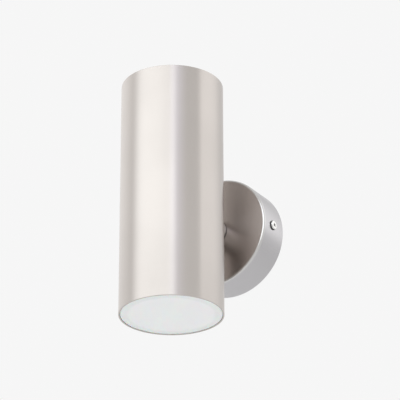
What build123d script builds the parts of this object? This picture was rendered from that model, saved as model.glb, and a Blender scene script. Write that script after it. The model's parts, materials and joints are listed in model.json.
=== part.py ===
from build123d import *

import math
import os

# A wall light: a brushed tube that shines up and down, held off a round wall cup by a short stem.
# Millimetres. +Z is up, +X is to the right seen from the room, and the light stands out from the wall to -Y.
# The wall is the plane y = 0, and the origin is the centre of the cable hole, on the wall.

# ---- Tube ----
TUBE_DIAMETER = 68.0
TUBE_WALL = 1.0
TUBE_LENGTH = 164.0
TUBE_AXIS_TO_WALL = 78.0
TUBE_MIDDLE_ABOVE_CUP = 3.0
RIM_CHAMFER = 0.25

# ---- Wall cup ----
CUP_DIAMETER = 76.5
CUP_DEPTH = 24.0
CUP_WALL = 1.2
CUP_EDGE_RADIUS = 1.6

# ---- Stem and the threaded pipe inside it ----
STEM_DIAMETER = 17.0
STEM_SEAL = 0.5
PIPE_DIAMETER = 10.0
PIPE_BORE = 7.6
PIPE_PROUD = 2.0
PIPE_NUT_ACROSS_FLATS = 14.0
PIPE_NUT_THICKNESS = 4.0
LOCK_WASHER_DIAMETER = 16.0
LOCK_WASHER_THICKNESS = 0.8
LOCK_WASHER_TEETH = 12
LOCK_WASHER_NOTCH = 1.6
SADDLE_WIDTH = 16.0
SADDLE_HEIGHT = 18.0
SADDLE_DEPTH = 4.0

# ---- Lens end, the same at the top and the bottom; each depth is counted inwards from the tube's rim ----
LENS_RECESS = 0.4
LENS_THICKNESS = 3.0
LENS_EDGE_CHAMFER = 0.3
GASKET_THICKNESS = 1.0
GASKET_WIDTH = 3.4
REFLECTOR_RIM_WIDTH = 5.0
REFLECTOR_RIM_THICKNESS = 2.0
REFLECTOR_DEPTH = 17.6
REFLECTOR_WALL = 1.2
REFLECTOR_FOOT_GAP = 1.4
HEAT_SINK_WALL = 2.0
HEAT_SINK_BASE = 3.0
BOARD_THICKNESS = 1.6
BOARD_EDGE_GAP = 0.5
LED_COUNT = 8
LED_CIRCLE_RADIUS = 9.0
LED_SIZE = 3.0
LED_HEIGHT = 0.7
BOARD_SCREW_INSET = 6.0
BOARD_SCREW_LENGTH = 8.0
LEAD_ANGLE = 20.0
LEAD_PITCH = 3.0
LEAD_PASS_DIAMETER = 6.6

# ---- Chassis inside the tube ----
CHASSIS_SHEET = 1.5
CHASSIS_SIDE_GAP = 1.4
CHASSIS_TAB_WIDTH = 20.0
CHASSIS_TAB_MARGIN = 4.5

# ---- LED driver ----
DRIVER_WIDTH = 30.0
DRIVER_DEPTH = 24.0
DRIVER_WALL = 1.5
DRIVER_END_GAP = 2.5
DRIVER_BOSS_DIAMETER = 6.0
DRIVER_BOSS_HEIGHT = 3.0
DRIVER_SCREW_INSET = 7.0
DRIVER_SCREW_LENGTH = 5.0
DRIVER_BOARD_THICKNESS = 1.2
TRANSFORMER_SIZE = (14.0, 11.0, 13.0)
TRANSFORMER_BOBBIN = 2.0
CAPACITOR_DIAMETER = 8.0
CAPACITOR_LENGTH = 12.0

# ---- Wall bracket and what it carries ----
BRACKET_SHEET = 2.0
BRACKET_HEIGHT = 24.0
BRACKET_BEND_RADIUS = 1.0
EAR_TO_CUP_GAP = 0.3
EAR_REACH = 18.0
EAR_HEIGHT = 14.0
WALL_SLOT_SPACING = 44.0
WALL_SLOT_LENGTH = 10.0
WALL_SLOT_WIDTH = 4.5
TERMINAL_TONGUE_TOP = 31.0
EARTH_TONGUE_WIDTH = 14.0
EARTH_TONGUE_BOTTOM = 29.5
BUSH_DIAMETER = 13.0
BUSH_BORE = 8.0
BUSH_FLANGE_DIAMETER = 17.0
BUSH_FLANGE_THICKNESS = 2.0
TERMINAL_WIDTH = 18.0
TERMINAL_HEIGHT = 16.0
TERMINAL_DEPTH = 11.0
TERMINAL_BOTTOM = 14.0
TERMINAL_POLE_SPACING = 9.0
TERMINAL_CORNER_RADIUS = 1.0
CLAMP_SCREW_DIAMETER = 2.6
CLAMP_SCREW_LENGTH = 3.5
CLAMP_SCREW_INSET = 4.0

# ---- Screws ----
M3_DIAMETER = 3.0
COVER_HEAD_DIAMETER = 6.0
COVER_HEAD_HEIGHT = 1.1
SMALL_HEAD_DIAMETER = 5.5
SMALL_HEAD_HEIGHT = 1.9
COVER_SCREW_LENGTH = 8.0
COVER_SCREW_FROM_WALL = 13.2
COVER_WASHER_DIAMETER = 6.6
COVER_WASHER_THICKNESS = 0.4
EARTH_SCREW_DIAMETER = 4.0
EARTH_HEAD_DIAMETER = 7.6
EARTH_HEAD_HEIGHT = 2.6
EARTH_TAG_WIDTH = 8.0
EARTH_TAG_THICKNESS = 0.8
EARTH_BARREL_DIAMETER = 3.4
EARTH_BARREL_LENGTH = 4.5
EARTH_BARREL_GAP = 1.2
CROSS_RECESS_WIDTH = 0.9
CROSS_RECESS_SHARE = 0.55

# ---- Wires ----
WIRE_DIAMETER = 2.0
LEAD_DIAMETER = 1.4
WIRE_CIRCLE_RADIUS = 2.2
WIRE_GRIP = 1.5

# ---- Clearances, each on the radius or on one side ----
SEAT_GAP = 0.1
THREAD_GAP = 0.03
PASS_GAP = 0.2
LENS_GAP = 0.15
SCREW_HOLE_GAP = 0.2

# ---- Places worked out from the sizes above ----
tube_radius = TUBE_DIAMETER / 2
tube_bore = tube_radius - TUBE_WALL
tube_bottom = TUBE_MIDDLE_ABOVE_CUP - TUBE_LENGTH / 2
tube_top = TUBE_MIDDLE_ABOVE_CUP + TUBE_LENGTH / 2
tube_back = -TUBE_AXIS_TO_WALL + tube_radius
cup_radius = CUP_DIAMETER / 2
cup_bore = cup_radius - CUP_WALL
cup_face_inside = -(CUP_DEPTH - CUP_WALL)
pipe_radius = PIPE_DIAMETER / 2
pipe_hole = pipe_radius + PASS_GAP

# What the pipe clamps: from the cup's face towards the wall, and from the tube's wall towards its axis
cup_nut_seat = cup_face_inside + LOCK_WASHER_THICKNESS
pipe_end_in_cup = cup_nut_seat + PIPE_NUT_THICKNESS + PIPE_PROUD
saddle_face = tube_back - TUBE_WALL - SADDLE_DEPTH
chassis_front = saddle_face - CHASSIS_SHEET
tube_nut_seat = chassis_front - LOCK_WASHER_THICKNESS
pipe_end_in_tube = tube_nut_seat - PIPE_NUT_THICKNESS - PIPE_PROUD
nut_corner_radius = PIPE_NUT_ACROSS_FLATS / math.sqrt(3)

# The lens end, as depths from the rim
gasket_depth = LENS_RECESS + LENS_THICKNESS
reflector_rim_depth = gasket_depth + GASKET_THICKNESS
skirt_depth = reflector_rim_depth + REFLECTOR_RIM_THICKNESS
board_depth = reflector_rim_depth + REFLECTOR_DEPTH
sink_base_depth = board_depth + BOARD_THICKNESS
sink_back_depth = sink_base_depth + HEAT_SINK_BASE
lens_radius = tube_bore - LENS_GAP
sink_radius = tube_bore - SEAT_GAP
sink_bore = sink_radius - HEAT_SINK_WALL
board_radius = sink_bore - BOARD_EDGE_GAP
board_screw_radius = board_radius - BOARD_SCREW_INSET
reflector_mouth = tube_bore - REFLECTOR_RIM_WIDTH
reflector_foot = LED_CIRCLE_RADIUS + LED_SIZE / math.sqrt(2) + REFLECTOR_FOOT_GAP
lead_x = board_screw_radius * math.cos(math.radians(LEAD_ANGLE))
lead_y = board_screw_radius * math.sin(math.radians(LEAD_ANGLE))

# The chassis is a strip whose edges stop just short of the round wall
chassis_bottom = tube_bottom + sink_back_depth
chassis_top = tube_top - sink_back_depth
chassis_half_width = math.sqrt(tube_bore**2 - (saddle_face + TUBE_AXIS_TO_WALL) ** 2) - CHASSIS_SIDE_GAP
tab_end = -TUBE_AXIS_TO_WALL - board_screw_radius - CHASSIS_TAB_MARGIN

# The driver fills the room between the pipe's nut and the upper tab
driver_bottom = nut_corner_radius + DRIVER_END_GAP
driver_top = chassis_top - CHASSIS_SHEET - DRIVER_END_GAP
driver_front = chassis_front - DRIVER_DEPTH
driver_lid_back = driver_front + DRIVER_WALL
driver_floor = chassis_front - DRIVER_WALL
driver_board_back = driver_floor - DRIVER_BOSS_HEIGHT
driver_board_front = driver_board_back - DRIVER_BOARD_THICKNESS
driver_screw_heights = (driver_bottom + DRIVER_SCREW_INSET, driver_top - DRIVER_SCREW_INSET)
driver_half_width = DRIVER_WIDTH / 2
lead_row = -TUBE_AXIS_TO_WALL + lead_y
lead_exit_height = driver_bottom + DRIVER_SCREW_INSET

# The wall bracket and its fittings
bracket_limit = cup_bore - EAR_TO_CUP_GAP
ear_outside = math.sqrt(bracket_limit**2 - (EAR_HEIGHT / 2) ** 2)
screw_row = -COVER_SCREW_FROM_WALL
bracket_front = -BRACKET_SHEET
bush_front = bracket_front - BUSH_FLANGE_THICKNESS
terminal_front = bracket_front - TERMINAL_DEPTH
terminal_top = TERMINAL_BOTTOM + TERMINAL_HEIGHT
terminal_middle = TERMINAL_BOTTOM + TERMINAL_HEIGHT / 2
wire_row = bracket_front - TERMINAL_DEPTH / 2
pole_x = TERMINAL_POLE_SPACING / 2
earth_screw_z = -(EARTH_TONGUE_BOTTOM - EARTH_TONGUE_WIDTH / 2)
chassis_earth_z = -(nut_corner_radius + LOCK_WASHER_DIAMETER)
washer_seat = cup_radius
screw_seat = washer_seat + COVER_WASHER_THICKNESS


# ---- Plain shapes ----
def rod(radius, start, end, across=(0.0, 0.0), axis="Y"):
    """A cylinder from start to end along an axis, at two coordinates on the other axes in X, Y, Z order."""
    middle, length = (start + end) / 2, abs(end - start)
    if axis == "X":
        return Pos(middle, *across) * Rot(0, 90, 0) * Cylinder(radius, length)
    if axis == "Y":
        return Pos(across[0], middle, across[1]) * Rot(90, 0, 0) * Cylinder(radius, length)
    return Pos(*across, middle) * Cylinder(radius, length)


def block(x, y, z):
    """A box between two limits on each axis."""
    centre = [(low + high) / 2 for low, high in (x, y, z)]
    return Pos(*centre) * Box(*(abs(high - low) for low, high in (x, y, z)))


def tube_of(outer, inner, start, end, across=(0.0, 0.0), axis="Y"):
    """A round ring or tube along an axis."""
    return rod(outer, start, end, across, axis) - rod(inner, start, end, across, axis)


def screw(head_radius, head_height, shank_radius, length):
    """A round-edged screw with a cross recess, its head's seat at z = 0 and its shank below."""
    head = Pos(0, 0, head_height / 2) * Cylinder(head_radius, head_height)
    head = fillet(head.edges().sort_by(Axis.Z)[-1], head_height * CROSS_RECESS_SHARE)
    tip = Pos(0, 0, -length / 2) * Cylinder(shank_radius, length)
    tip = chamfer(tip.edges().sort_by(Axis.Z)[0], shank_radius / 4)
    depth = head_height * CROSS_RECESS_SHARE
    arm = head_radius * 2 * CROSS_RECESS_SHARE
    recess = Pos(0, 0, head_height - depth / 2) * (
        Box(arm, CROSS_RECESS_WIDTH, depth) + Box(CROSS_RECESS_WIDTH, arm, depth)
    )
    return head + tip - recess


def small_screw(length):
    """An M3 screw for inside the light."""
    return screw(SMALL_HEAD_DIAMETER / 2, SMALL_HEAD_HEIGHT, M3_DIAMETER / 2, length)


def m3_thread(start, end, across, axis):
    """The hole that an M3 screw threads into."""
    return rod(M3_DIAMETER / 2 + THREAD_GAP, start, end, across, axis)


def m3_clearance(start, end, across, axis):
    """The hole that an M3 screw passes through."""
    return rod(M3_DIAMETER / 2 + SCREW_HOLE_GAP, start, end, across, axis)


def group(shapes):
    """Separate solids that share one node."""
    return Compound([solid for shape in shapes for solid in shape.solids()])


# ---- Outside ----
def tube_body():
    """The tube, with chamfered rims and the pipe's hole in its back."""
    body = tube_of(tube_radius, tube_bore, tube_bottom, tube_top, (0, -TUBE_AXIS_TO_WALL), "Z")
    rims = body.edges().filter_by(GeomType.CIRCLE)
    body = chamfer(rims, RIM_CHAMFER)
    return body - rod(pipe_hole, tube_back - TUBE_WALL * 2, tube_back + TUBE_WALL)


def backplate_cup():
    """The shallow wall cup, open to the wall, with holes for the pipe and the two cover screws."""
    outside = rod(cup_radius, 0, -CUP_DEPTH)
    outside = fillet(outside.edges().sort_by(Axis.Y)[0], CUP_EDGE_RADIUS)
    inside = rod(cup_bore, 0, cup_face_inside)
    inside = fillet(inside.edges().sort_by(Axis.Y)[0], max(CUP_EDGE_RADIUS - CUP_WALL, CUP_EDGE_RADIUS / 4))
    holes = m3_clearance(-cup_radius * 1.1, cup_radius * 1.1, (screw_row, 0), "X")
    return outside - inside - holes - rod(pipe_hole, 0, -CUP_DEPTH)


def stem_sleeve():
    """The plain stem, cut at its end to the tube's round back."""
    seal_front = -CUP_DEPTH - STEM_SEAL
    sleeve = tube_of(STEM_DIAMETER / 2, pipe_hole, seal_front, -TUBE_AXIS_TO_WALL)
    return sleeve - rod(tube_radius, tube_bottom, tube_top, (0, -TUBE_AXIS_TO_WALL), "Z")


def stem_seal():
    """The rubber ring between the stem and the cup."""
    return tube_of(STEM_DIAMETER / 2, pipe_hole, -CUP_DEPTH, -CUP_DEPTH - STEM_SEAL)


def cover_screw(side):
    """One of the two screws that hold the cup to the bracket; side is +1 on the right and -1 on the left."""
    shape = screw(COVER_HEAD_DIAMETER / 2, COVER_HEAD_HEIGHT, M3_DIAMETER / 2, COVER_SCREW_LENGTH)
    return Pos(side * screw_seat, screw_row, 0) * Rot(0, side * 90, 0) * shape


def cover_screw_washer(side):
    """The black washer under a cover screw's head."""
    hole = M3_DIAMETER / 2 + SEAT_GAP / 2
    return tube_of(
        COVER_WASHER_DIAMETER / 2, hole, side * washer_seat, side * screw_seat, (screw_row, 0), "X"
    )


# ---- Lens end, made for the bottom of the tube with its rim at z = 0 ----
def lens():
    """The frosted lens."""
    disc = rod(lens_radius, LENS_RECESS, gasket_depth, axis="Z")
    return chamfer(disc.edges(), LENS_EDGE_CHAMFER)


def lens_gasket():
    """The flat ring that the lens seats on."""
    return tube_of(lens_radius, lens_radius - GASKET_WIDTH, gasket_depth, reflector_rim_depth, axis="Z")


def reflector():
    """A white cone with a flat rim, standing on the LED board."""
    rim_radius = tube_bore - SEAT_GAP
    rim = rod(rim_radius, reflector_rim_depth, skirt_depth, axis="Z")
    depth = board_depth - reflector_rim_depth
    place = Pos(0, 0, reflector_rim_depth + depth / 2)
    outside = Cone(reflector_mouth + REFLECTOR_WALL, reflector_foot + REFLECTOR_WALL, depth)
    inside = Cone(reflector_mouth, reflector_foot, depth)
    return rim + place * outside - place * inside


def led_board():
    """The round board, with screw holes and the holes that its leads end in."""
    board = rod(board_radius, board_depth, sink_base_depth, axis="Z")
    for y in (-board_screw_radius, board_screw_radius):
        board -= m3_clearance(board_depth, sink_base_depth, (0, y), "Z")
    for shift in (-LEAD_PITCH / 2, LEAD_PITCH / 2):
        pad = (lead_x, lead_y + shift)
        board -= rod(LEAD_DIAMETER / 2 + SEAT_GAP, board_depth, sink_base_depth, pad, "Z")
    return board


def led_chips():
    """A ring of LEDs round one in the middle, on the board's face."""
    chip = Pos(0, 0, board_depth - LED_HEIGHT / 2) * Box(LED_SIZE, LED_SIZE, LED_HEIGHT)
    ring = [
        Rot(0, 0, 360 * i / LED_COUNT) * Pos(LED_CIRCLE_RADIUS, 0, 0) * chip for i in range(LED_COUNT)
    ]
    return group([chip, *ring])


def led_board_screws():
    """Two screws through the board and the heat sink into the chassis tab."""
    flipped = Rot(180, 0, 0) * small_screw(BOARD_SCREW_LENGTH)
    return group(
        [Pos(0, y, board_depth) * flipped for y in (-board_screw_radius, board_screw_radius)]
    )


def heat_sink():
    """An aluminium cup: its floor takes the board, and its skirt carries the reflector."""
    sink = rod(sink_radius, skirt_depth, sink_back_depth, axis="Z")
    sink -= rod(sink_bore, skirt_depth, sink_base_depth, axis="Z")
    for y in (-board_screw_radius, board_screw_radius):
        sink -= m3_clearance(sink_base_depth, sink_back_depth, (0, y), "Z")
    return sink - rod(LEAD_PASS_DIAMETER / 2, sink_base_depth, sink_back_depth, (lead_x, lead_y), "Z")


def at_bottom(shape):
    """A lens-end piece in its place at the tube's lower rim."""
    return Pos(0, -TUBE_AXIS_TO_WALL, tube_bottom) * shape


def at_top(shape):
    """The same piece turned over, in its place at the tube's upper rim."""
    return Pos(0, -TUBE_AXIS_TO_WALL, tube_top) * Rot(0, 180, 0) * shape


# ---- The clamped pipe ----
def threaded_pipe():
    """The hollow pipe that clamps cup, stem, tube and chassis together and carries the wires."""
    pipe = tube_of(pipe_radius, PIPE_BORE / 2, pipe_end_in_cup, pipe_end_in_tube)
    ends = pipe.edges().filter_by(GeomType.CIRCLE)
    return chamfer(ends, (pipe_radius - PIPE_BORE / 2) / 4)


def pipe_nut(seat, direction):
    """A hexagon nut on the pipe, its seat at y = seat and its body along direction."""
    face = Plane((0, seat, 0), x_dir=(1, 0, 0), z_dir=(0, direction, 0))
    flats = RegularPolygon(PIPE_NUT_ACROSS_FLATS / 2, 6, major_radius=False)
    nut = extrude(face * flats, PIPE_NUT_THICKNESS)
    end = seat + direction * PIPE_NUT_THICKNESS
    rounded = rod(nut_corner_radius, seat, end)
    rounded = chamfer(rounded.edges(), (nut_corner_radius * 2 - PIPE_NUT_ACROSS_FLATS) / 4)
    return nut & rounded - rod(pipe_radius + THREAD_GAP, seat, end)


def lock_washer(start, end):
    """A toothed washer between a nut and what it clamps."""
    washer = tube_of(LOCK_WASHER_DIAMETER / 2, pipe_radius + SEAT_GAP, start, end)
    notch = block(
        (-LOCK_WASHER_NOTCH / 2, LOCK_WASHER_NOTCH / 2),
        (start, end),
        (LOCK_WASHER_DIAMETER / 2 - LOCK_WASHER_NOTCH, LOCK_WASHER_DIAMETER),
    )
    return washer - [Rot(0, 360 * i / LOCK_WASHER_TEETH, 0) * notch for i in range(LOCK_WASHER_TEETH)]


def saddle_washer():
    """A pad with a round back that fits the tube's wall and a flat front for the chassis."""
    pad = block(
        (-SADDLE_WIDTH / 2, SADDLE_WIDTH / 2),
        (tube_back, saddle_face),
        (-SADDLE_HEIGHT / 2, SADDLE_HEIGHT / 2),
    )
    pad &= rod(tube_bore, -SADDLE_HEIGHT, SADDLE_HEIGHT, (0, -TUBE_AXIS_TO_WALL), "Z")
    return pad - rod(pipe_hole, tube_back, saddle_face)


# ---- Chassis and driver ----
def chassis_bracket():
    """A sheet strip down the tube's back, with a tab bent under each heat sink."""
    strip = block(
        (-chassis_half_width, chassis_half_width),
        (saddle_face, chassis_front),
        (chassis_bottom, chassis_top),
    )
    half_tab = CHASSIS_TAB_WIDTH / 2
    tabs = [
        block((-half_tab, half_tab), (saddle_face, tab_end), (inner, outer))
        for inner, outer in (
            (chassis_bottom + CHASSIS_SHEET, chassis_bottom),
            (chassis_top - CHASSIS_SHEET, chassis_top),
        )
    ]
    chassis = strip + tabs[0] + tabs[1] - rod(pipe_hole, saddle_face, chassis_front)
    for y in (-board_screw_radius, board_screw_radius):
        place = (0, -TUBE_AXIS_TO_WALL + y)
        chassis -= m3_thread(chassis_bottom, chassis_bottom + CHASSIS_SHEET, place, "Z")
        chassis -= m3_thread(chassis_top - CHASSIS_SHEET, chassis_top, place, "Z")
    for height in driver_screw_heights:
        chassis -= m3_clearance(saddle_face, chassis_front, (0, height), "Y")
    return chassis - earth_hole(saddle_face, chassis_front, chassis_earth_z)


def driver_case():
    """The driver's box, open towards the tube's axis, with two bosses and its wire holes."""
    width, height = (-driver_half_width, driver_half_width), (driver_bottom, driver_top)
    case = block(width, (chassis_front, driver_lid_back), height)
    inner_half = driver_half_width - DRIVER_WALL
    case -= block(
        (-inner_half, inner_half),
        (driver_floor, driver_lid_back),
        (driver_bottom + DRIVER_WALL, driver_top - DRIVER_WALL),
    )
    for z in driver_screw_heights:
        case += rod(DRIVER_BOSS_DIAMETER / 2, driver_floor, driver_board_back, (0, z))
        case -= m3_thread(chassis_front, driver_board_back, (0, z), "Y")
    wire_hole, lead_hole = WIRE_DIAMETER / 2 + SEAT_GAP, LEAD_DIAMETER / 2 + SEAT_GAP
    for x in (-pole_x, pole_x):
        case -= rod(wire_hole, driver_bottom, driver_bottom + DRIVER_WALL, (x, lead_row), "Z")
    for y in lead_rows():
        case -= rod(lead_hole, *width, (y, lead_exit_height), "X")
    return case


def driver_cover():
    """The driver's lid, with a lip inside the case."""
    lid = block(
        (-driver_half_width, driver_half_width), (driver_lid_back, driver_front), (driver_bottom, driver_top)
    )
    lip_half = driver_half_width - DRIVER_WALL - SEAT_GAP
    low, high = driver_bottom + DRIVER_WALL + SEAT_GAP, driver_top - DRIVER_WALL - SEAT_GAP
    lip = block((-lip_half, lip_half), (driver_lid_back + DRIVER_WALL, driver_lid_back), (low, high))
    hollow = lip_half - DRIVER_WALL
    lip -= block(
        (-hollow, hollow),
        (driver_lid_back + DRIVER_WALL, driver_lid_back),
        (low + DRIVER_WALL, high - DRIVER_WALL),
    )
    return lid + lip


def driver_board():
    """The driver's circuit board, resting on the bosses."""
    half = driver_half_width - DRIVER_WALL - PASS_GAP
    return block(
        (-half, half),
        (driver_board_back, driver_board_front),
        (driver_bottom + DRIVER_WALL + PASS_GAP, driver_top - DRIVER_WALL - PASS_GAP),
    )


def driver_transformer():
    """The transformer: a square core round a bobbin."""
    width, depth, height = TRANSFORMER_SIZE
    winding = (width + TRANSFORMER_BOBBIN * 2, depth - TRANSFORMER_BOBBIN, height - TRANSFORMER_BOBBIN * 2)
    middle = (driver_bottom + driver_top) / 2
    core = Pos(0, driver_board_front - depth / 2, middle) * Box(width, depth, height)
    return core + Pos(0, driver_board_front - winding[1] / 2, middle) * Box(*winding)


def driver_capacitors():
    """Two round capacitors, one at each end of the board."""
    radius = CAPACITOR_DIAMETER / 2
    low = driver_bottom + DRIVER_WALL + DRIVER_END_GAP + radius
    high = driver_top - DRIVER_WALL - DRIVER_END_GAP - radius
    shapes = []
    for x, z in ((-radius, low), (radius, high)):
        can = rod(radius, driver_board_front, driver_board_front - CAPACITOR_LENGTH, (x, z))
        shapes.append(fillet(can.edges().sort_by(Axis.Y)[0], radius / 5))
    return group(shapes)


def driver_screws():
    """Two screws from behind the chassis into the driver's bosses."""
    turned = Rot(-90, 0, 0) * small_screw(DRIVER_SCREW_LENGTH)
    return group([Pos(0, saddle_face, z) * turned for z in driver_screw_heights])


# ---- Wall side ----
def wall_bracket():
    """A bent strap with two ears, two wall slots, the cable hole, and a tongue above and below."""
    profile = Rectangle(ear_outside * 2, EAR_REACH)
    profile = fillet(profile.vertices().group_by(Axis.Y)[-1], BRACKET_BEND_RADIUS + BRACKET_SHEET)
    hollow = Rectangle((ear_outside - BRACKET_SHEET) * 2, EAR_REACH - BRACKET_SHEET)
    hollow = fillet(hollow.vertices().group_by(Axis.Y)[-1], BRACKET_BEND_RADIUS)
    hollow = Pos(0, -BRACKET_SHEET / 2) * hollow
    strap = Pos(0, -EAR_REACH / 2, -BRACKET_HEIGHT / 2) * extrude(profile - hollow, BRACKET_HEIGHT)
    bend_start = ear_outside - BRACKET_SHEET - BRACKET_BEND_RADIUS
    for side in (-1, 1):
        for half in (-1, 1):
            beside_ear = (side * bend_start, side * cup_radius)
            strap -= block(beside_ear, (0, -CUP_DEPTH), (half * EAR_HEIGHT / 2, half * BRACKET_HEIGHT))
    strap &= rod(bracket_limit, 0, -CUP_DEPTH)
    strap += block((-TERMINAL_WIDTH / 2, TERMINAL_WIDTH / 2), (0, bracket_front), (0, TERMINAL_TONGUE_TOP))
    half_tongue = EARTH_TONGUE_WIDTH / 2
    strap += block((-half_tongue, half_tongue), (0, bracket_front), (-EARTH_TONGUE_BOTTOM, 0))
    strap -= rod(BUSH_DIAMETER / 2, 0, bracket_front)
    slot = extrude(Plane.XZ * SlotOverall(WALL_SLOT_LENGTH, WALL_SLOT_WIDTH), BRACKET_SHEET)
    for x in (-WALL_SLOT_SPACING / 2, WALL_SLOT_SPACING / 2):
        strap -= Pos(x, 0, 0) * slot
    strap -= m3_thread(-cup_radius, cup_radius, (screw_row, 0), "X")
    strap -= m3_thread(0, bracket_front, (0, terminal_middle), "Y")
    return strap - earth_hole(0, bracket_front, earth_screw_z)


def cable_bush():
    """The rubber bush that lines the cable hole."""
    body = rod(BUSH_DIAMETER / 2, 0, bracket_front) + rod(BUSH_FLANGE_DIAMETER / 2, bracket_front, bush_front)
    body = fillet(body.edges().sort_by(Axis.Y)[0], BUSH_FLANGE_THICKNESS / 3)
    return body - rod(BUSH_BORE / 2, 0, bush_front)


def terminal_block():
    """A two-pole block with wire barrels from top to bottom and clamp screws from the front."""
    half = TERMINAL_WIDTH / 2
    body = block((-half, half), (bracket_front, terminal_front), (TERMINAL_BOTTOM, terminal_top))
    body = fillet(body.edges().filter_by(Axis.Y), TERMINAL_CORNER_RADIUS)
    for x in (-pole_x, pole_x):
        body -= rod(WIRE_DIAMETER / 2 + SEAT_GAP, TERMINAL_BOTTOM, terminal_top, (x, wire_row), "Z")
        for z in clamp_heights():
            body -= rod(CLAMP_SCREW_DIAMETER / 2 + SEAT_GAP, terminal_front, wire_row, (x, z))
    floor = bracket_front - SMALL_HEAD_HEIGHT
    body -= m3_clearance(bracket_front, terminal_front, (0, terminal_middle), "Y")
    return body - rod(SMALL_HEAD_DIAMETER / 2 + SEAT_GAP, floor, terminal_front, (0, terminal_middle))


def clamp_heights():
    """The heights of the clamp screws in each pole."""
    return TERMINAL_BOTTOM + CLAMP_SCREW_INSET, terminal_top - CLAMP_SCREW_INSET


def terminal_clamp_screws():
    """The four slotted screws that clamp the wires."""
    shapes = []
    tip = wire_row - WIRE_DIAMETER / 2 - SEAT_GAP
    head = tip - CLAMP_SCREW_LENGTH
    slot = block(
        (-CLAMP_SCREW_DIAMETER, CLAMP_SCREW_DIAMETER),
        (head, head + CLAMP_SCREW_DIAMETER / 3),
        (-CLAMP_SCREW_DIAMETER / 8, CLAMP_SCREW_DIAMETER / 8),
    )
    for x in (-pole_x, pole_x):
        for z in clamp_heights():
            shapes.append(rod(CLAMP_SCREW_DIAMETER / 2, tip, head, (x, z)) - Pos(x, 0, z) * slot)
    return group(shapes)


def terminal_block_screw():
    """The screw that fixes the terminal block to the bracket."""
    shape = small_screw(SMALL_HEAD_HEIGHT + BRACKET_SHEET)
    return Pos(0, bracket_front - SMALL_HEAD_HEIGHT, terminal_middle) * Rot(90, 0, 0) * shape


# ---- Earth ----
def earth_hole(start, end, z):
    """The threaded hole of an earth screw."""
    return rod(EARTH_SCREW_DIAMETER / 2 + THREAD_GAP, start, end, (0, z))


def earth_tag(seat, z):
    """A ring tag on a sheet, its barrel pointing up."""
    front = seat - EARTH_TAG_THICKNESS
    ring = rod(EARTH_TAG_WIDTH / 2, seat, front, (0, z))
    low, high = barrel_ends(z)
    half_neck = EARTH_BARREL_DIAMETER / 2
    neck = block((-half_neck, half_neck), (seat, front), (z, high))
    row = barrel_row(seat)
    barrel = rod(half_neck, low, high, (0, row), "Z")
    web = block((-half_neck, half_neck), (seat, row), (low, high))
    bore = rod(WIRE_DIAMETER / 2 + SEAT_GAP, low, high, (0, row), "Z")
    return ring + neck + web + barrel - bore - rod(EARTH_SCREW_DIAMETER / 2 + SEAT_GAP, seat, front, (0, z))


def barrel_ends(z):
    """The lower and upper end of an earth tag's barrel."""
    low = z + EARTH_HEAD_DIAMETER / 2 + EARTH_BARREL_GAP
    return low, low + EARTH_BARREL_LENGTH


def barrel_row(seat):
    """The y of an earth tag's barrel, which stands on the sheet."""
    return seat - EARTH_BARREL_DIAMETER / 2


def earth_screw(seat, sheet, z):
    """A brass screw that clamps a ring tag to a sheet, its tip flush with the sheet's far side."""
    length = EARTH_TAG_THICKNESS + sheet
    shape = screw(EARTH_HEAD_DIAMETER / 2, EARTH_HEAD_HEIGHT, EARTH_SCREW_DIAMETER / 2, length)
    return Pos(0, seat - EARTH_TAG_THICKNESS, z) * Rot(90, 0, 0) * shape


# ---- Wires ----
def lead_rows():
    """The two rows in which a pair of LED leads runs."""
    return lead_row - LEAD_PITCH / 2, lead_row + LEAD_PITCH / 2


def bend_radii(points):
    """A radius for each corner: 0.45 of the shorter run beside it, over the tangent of half the turn."""
    vectors = [Vector(*point) for point in points]
    runs = [b - a for a, b in zip(vectors, vectors[1:])]
    return [
        0.45 * min(before.length, after.length) / math.tan(math.radians(before.get_angle(after) / 2))
        for before, after in zip(runs, runs[1:])
    ]


def wire(name, diameter, points):
    """A round wire along straight runs joined by tangent arcs."""
    radii = bend_radii(points)
    path = FilletPolyline(*points, radius=radii)
    section = Plane(path @ 0, z_dir=path % 0) * Circle(diameter / 2)
    shape = sweep(section, path=path)
    ideal = math.pi * diameter**2 / 4 * path.length
    print(name, "tightest bend", round(min(radii), 1), "mm, volume share", round(shape.volume / ideal, 4))
    return shape


def mains_wire(name, side):
    """The live or neutral wire: from the terminal block through the pipe up into the driver."""
    pole, inside = side * pole_x, side * WIRE_CIRCLE_RADIUS * math.cos(math.radians(30))
    row = WIRE_CIRCLE_RADIUS * math.sin(math.radians(30))
    level = TERMINAL_BOTTOM - WIRE_DIAMETER * 4.5
    return wire(
        name,
        WIRE_DIAMETER,
        [
            (pole, wire_row, TERMINAL_BOTTOM + WIRE_GRIP),
            (pole, wire_row, level),
            (inside, pipe_end_in_cup + WIRE_DIAMETER, row),
            (inside, lead_row + WIRE_DIAMETER * 4, row),
            (pole, lead_row, row + WIRE_DIAMETER),
            (pole, lead_row, driver_bottom + DRIVER_WALL),
        ],
    )


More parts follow.
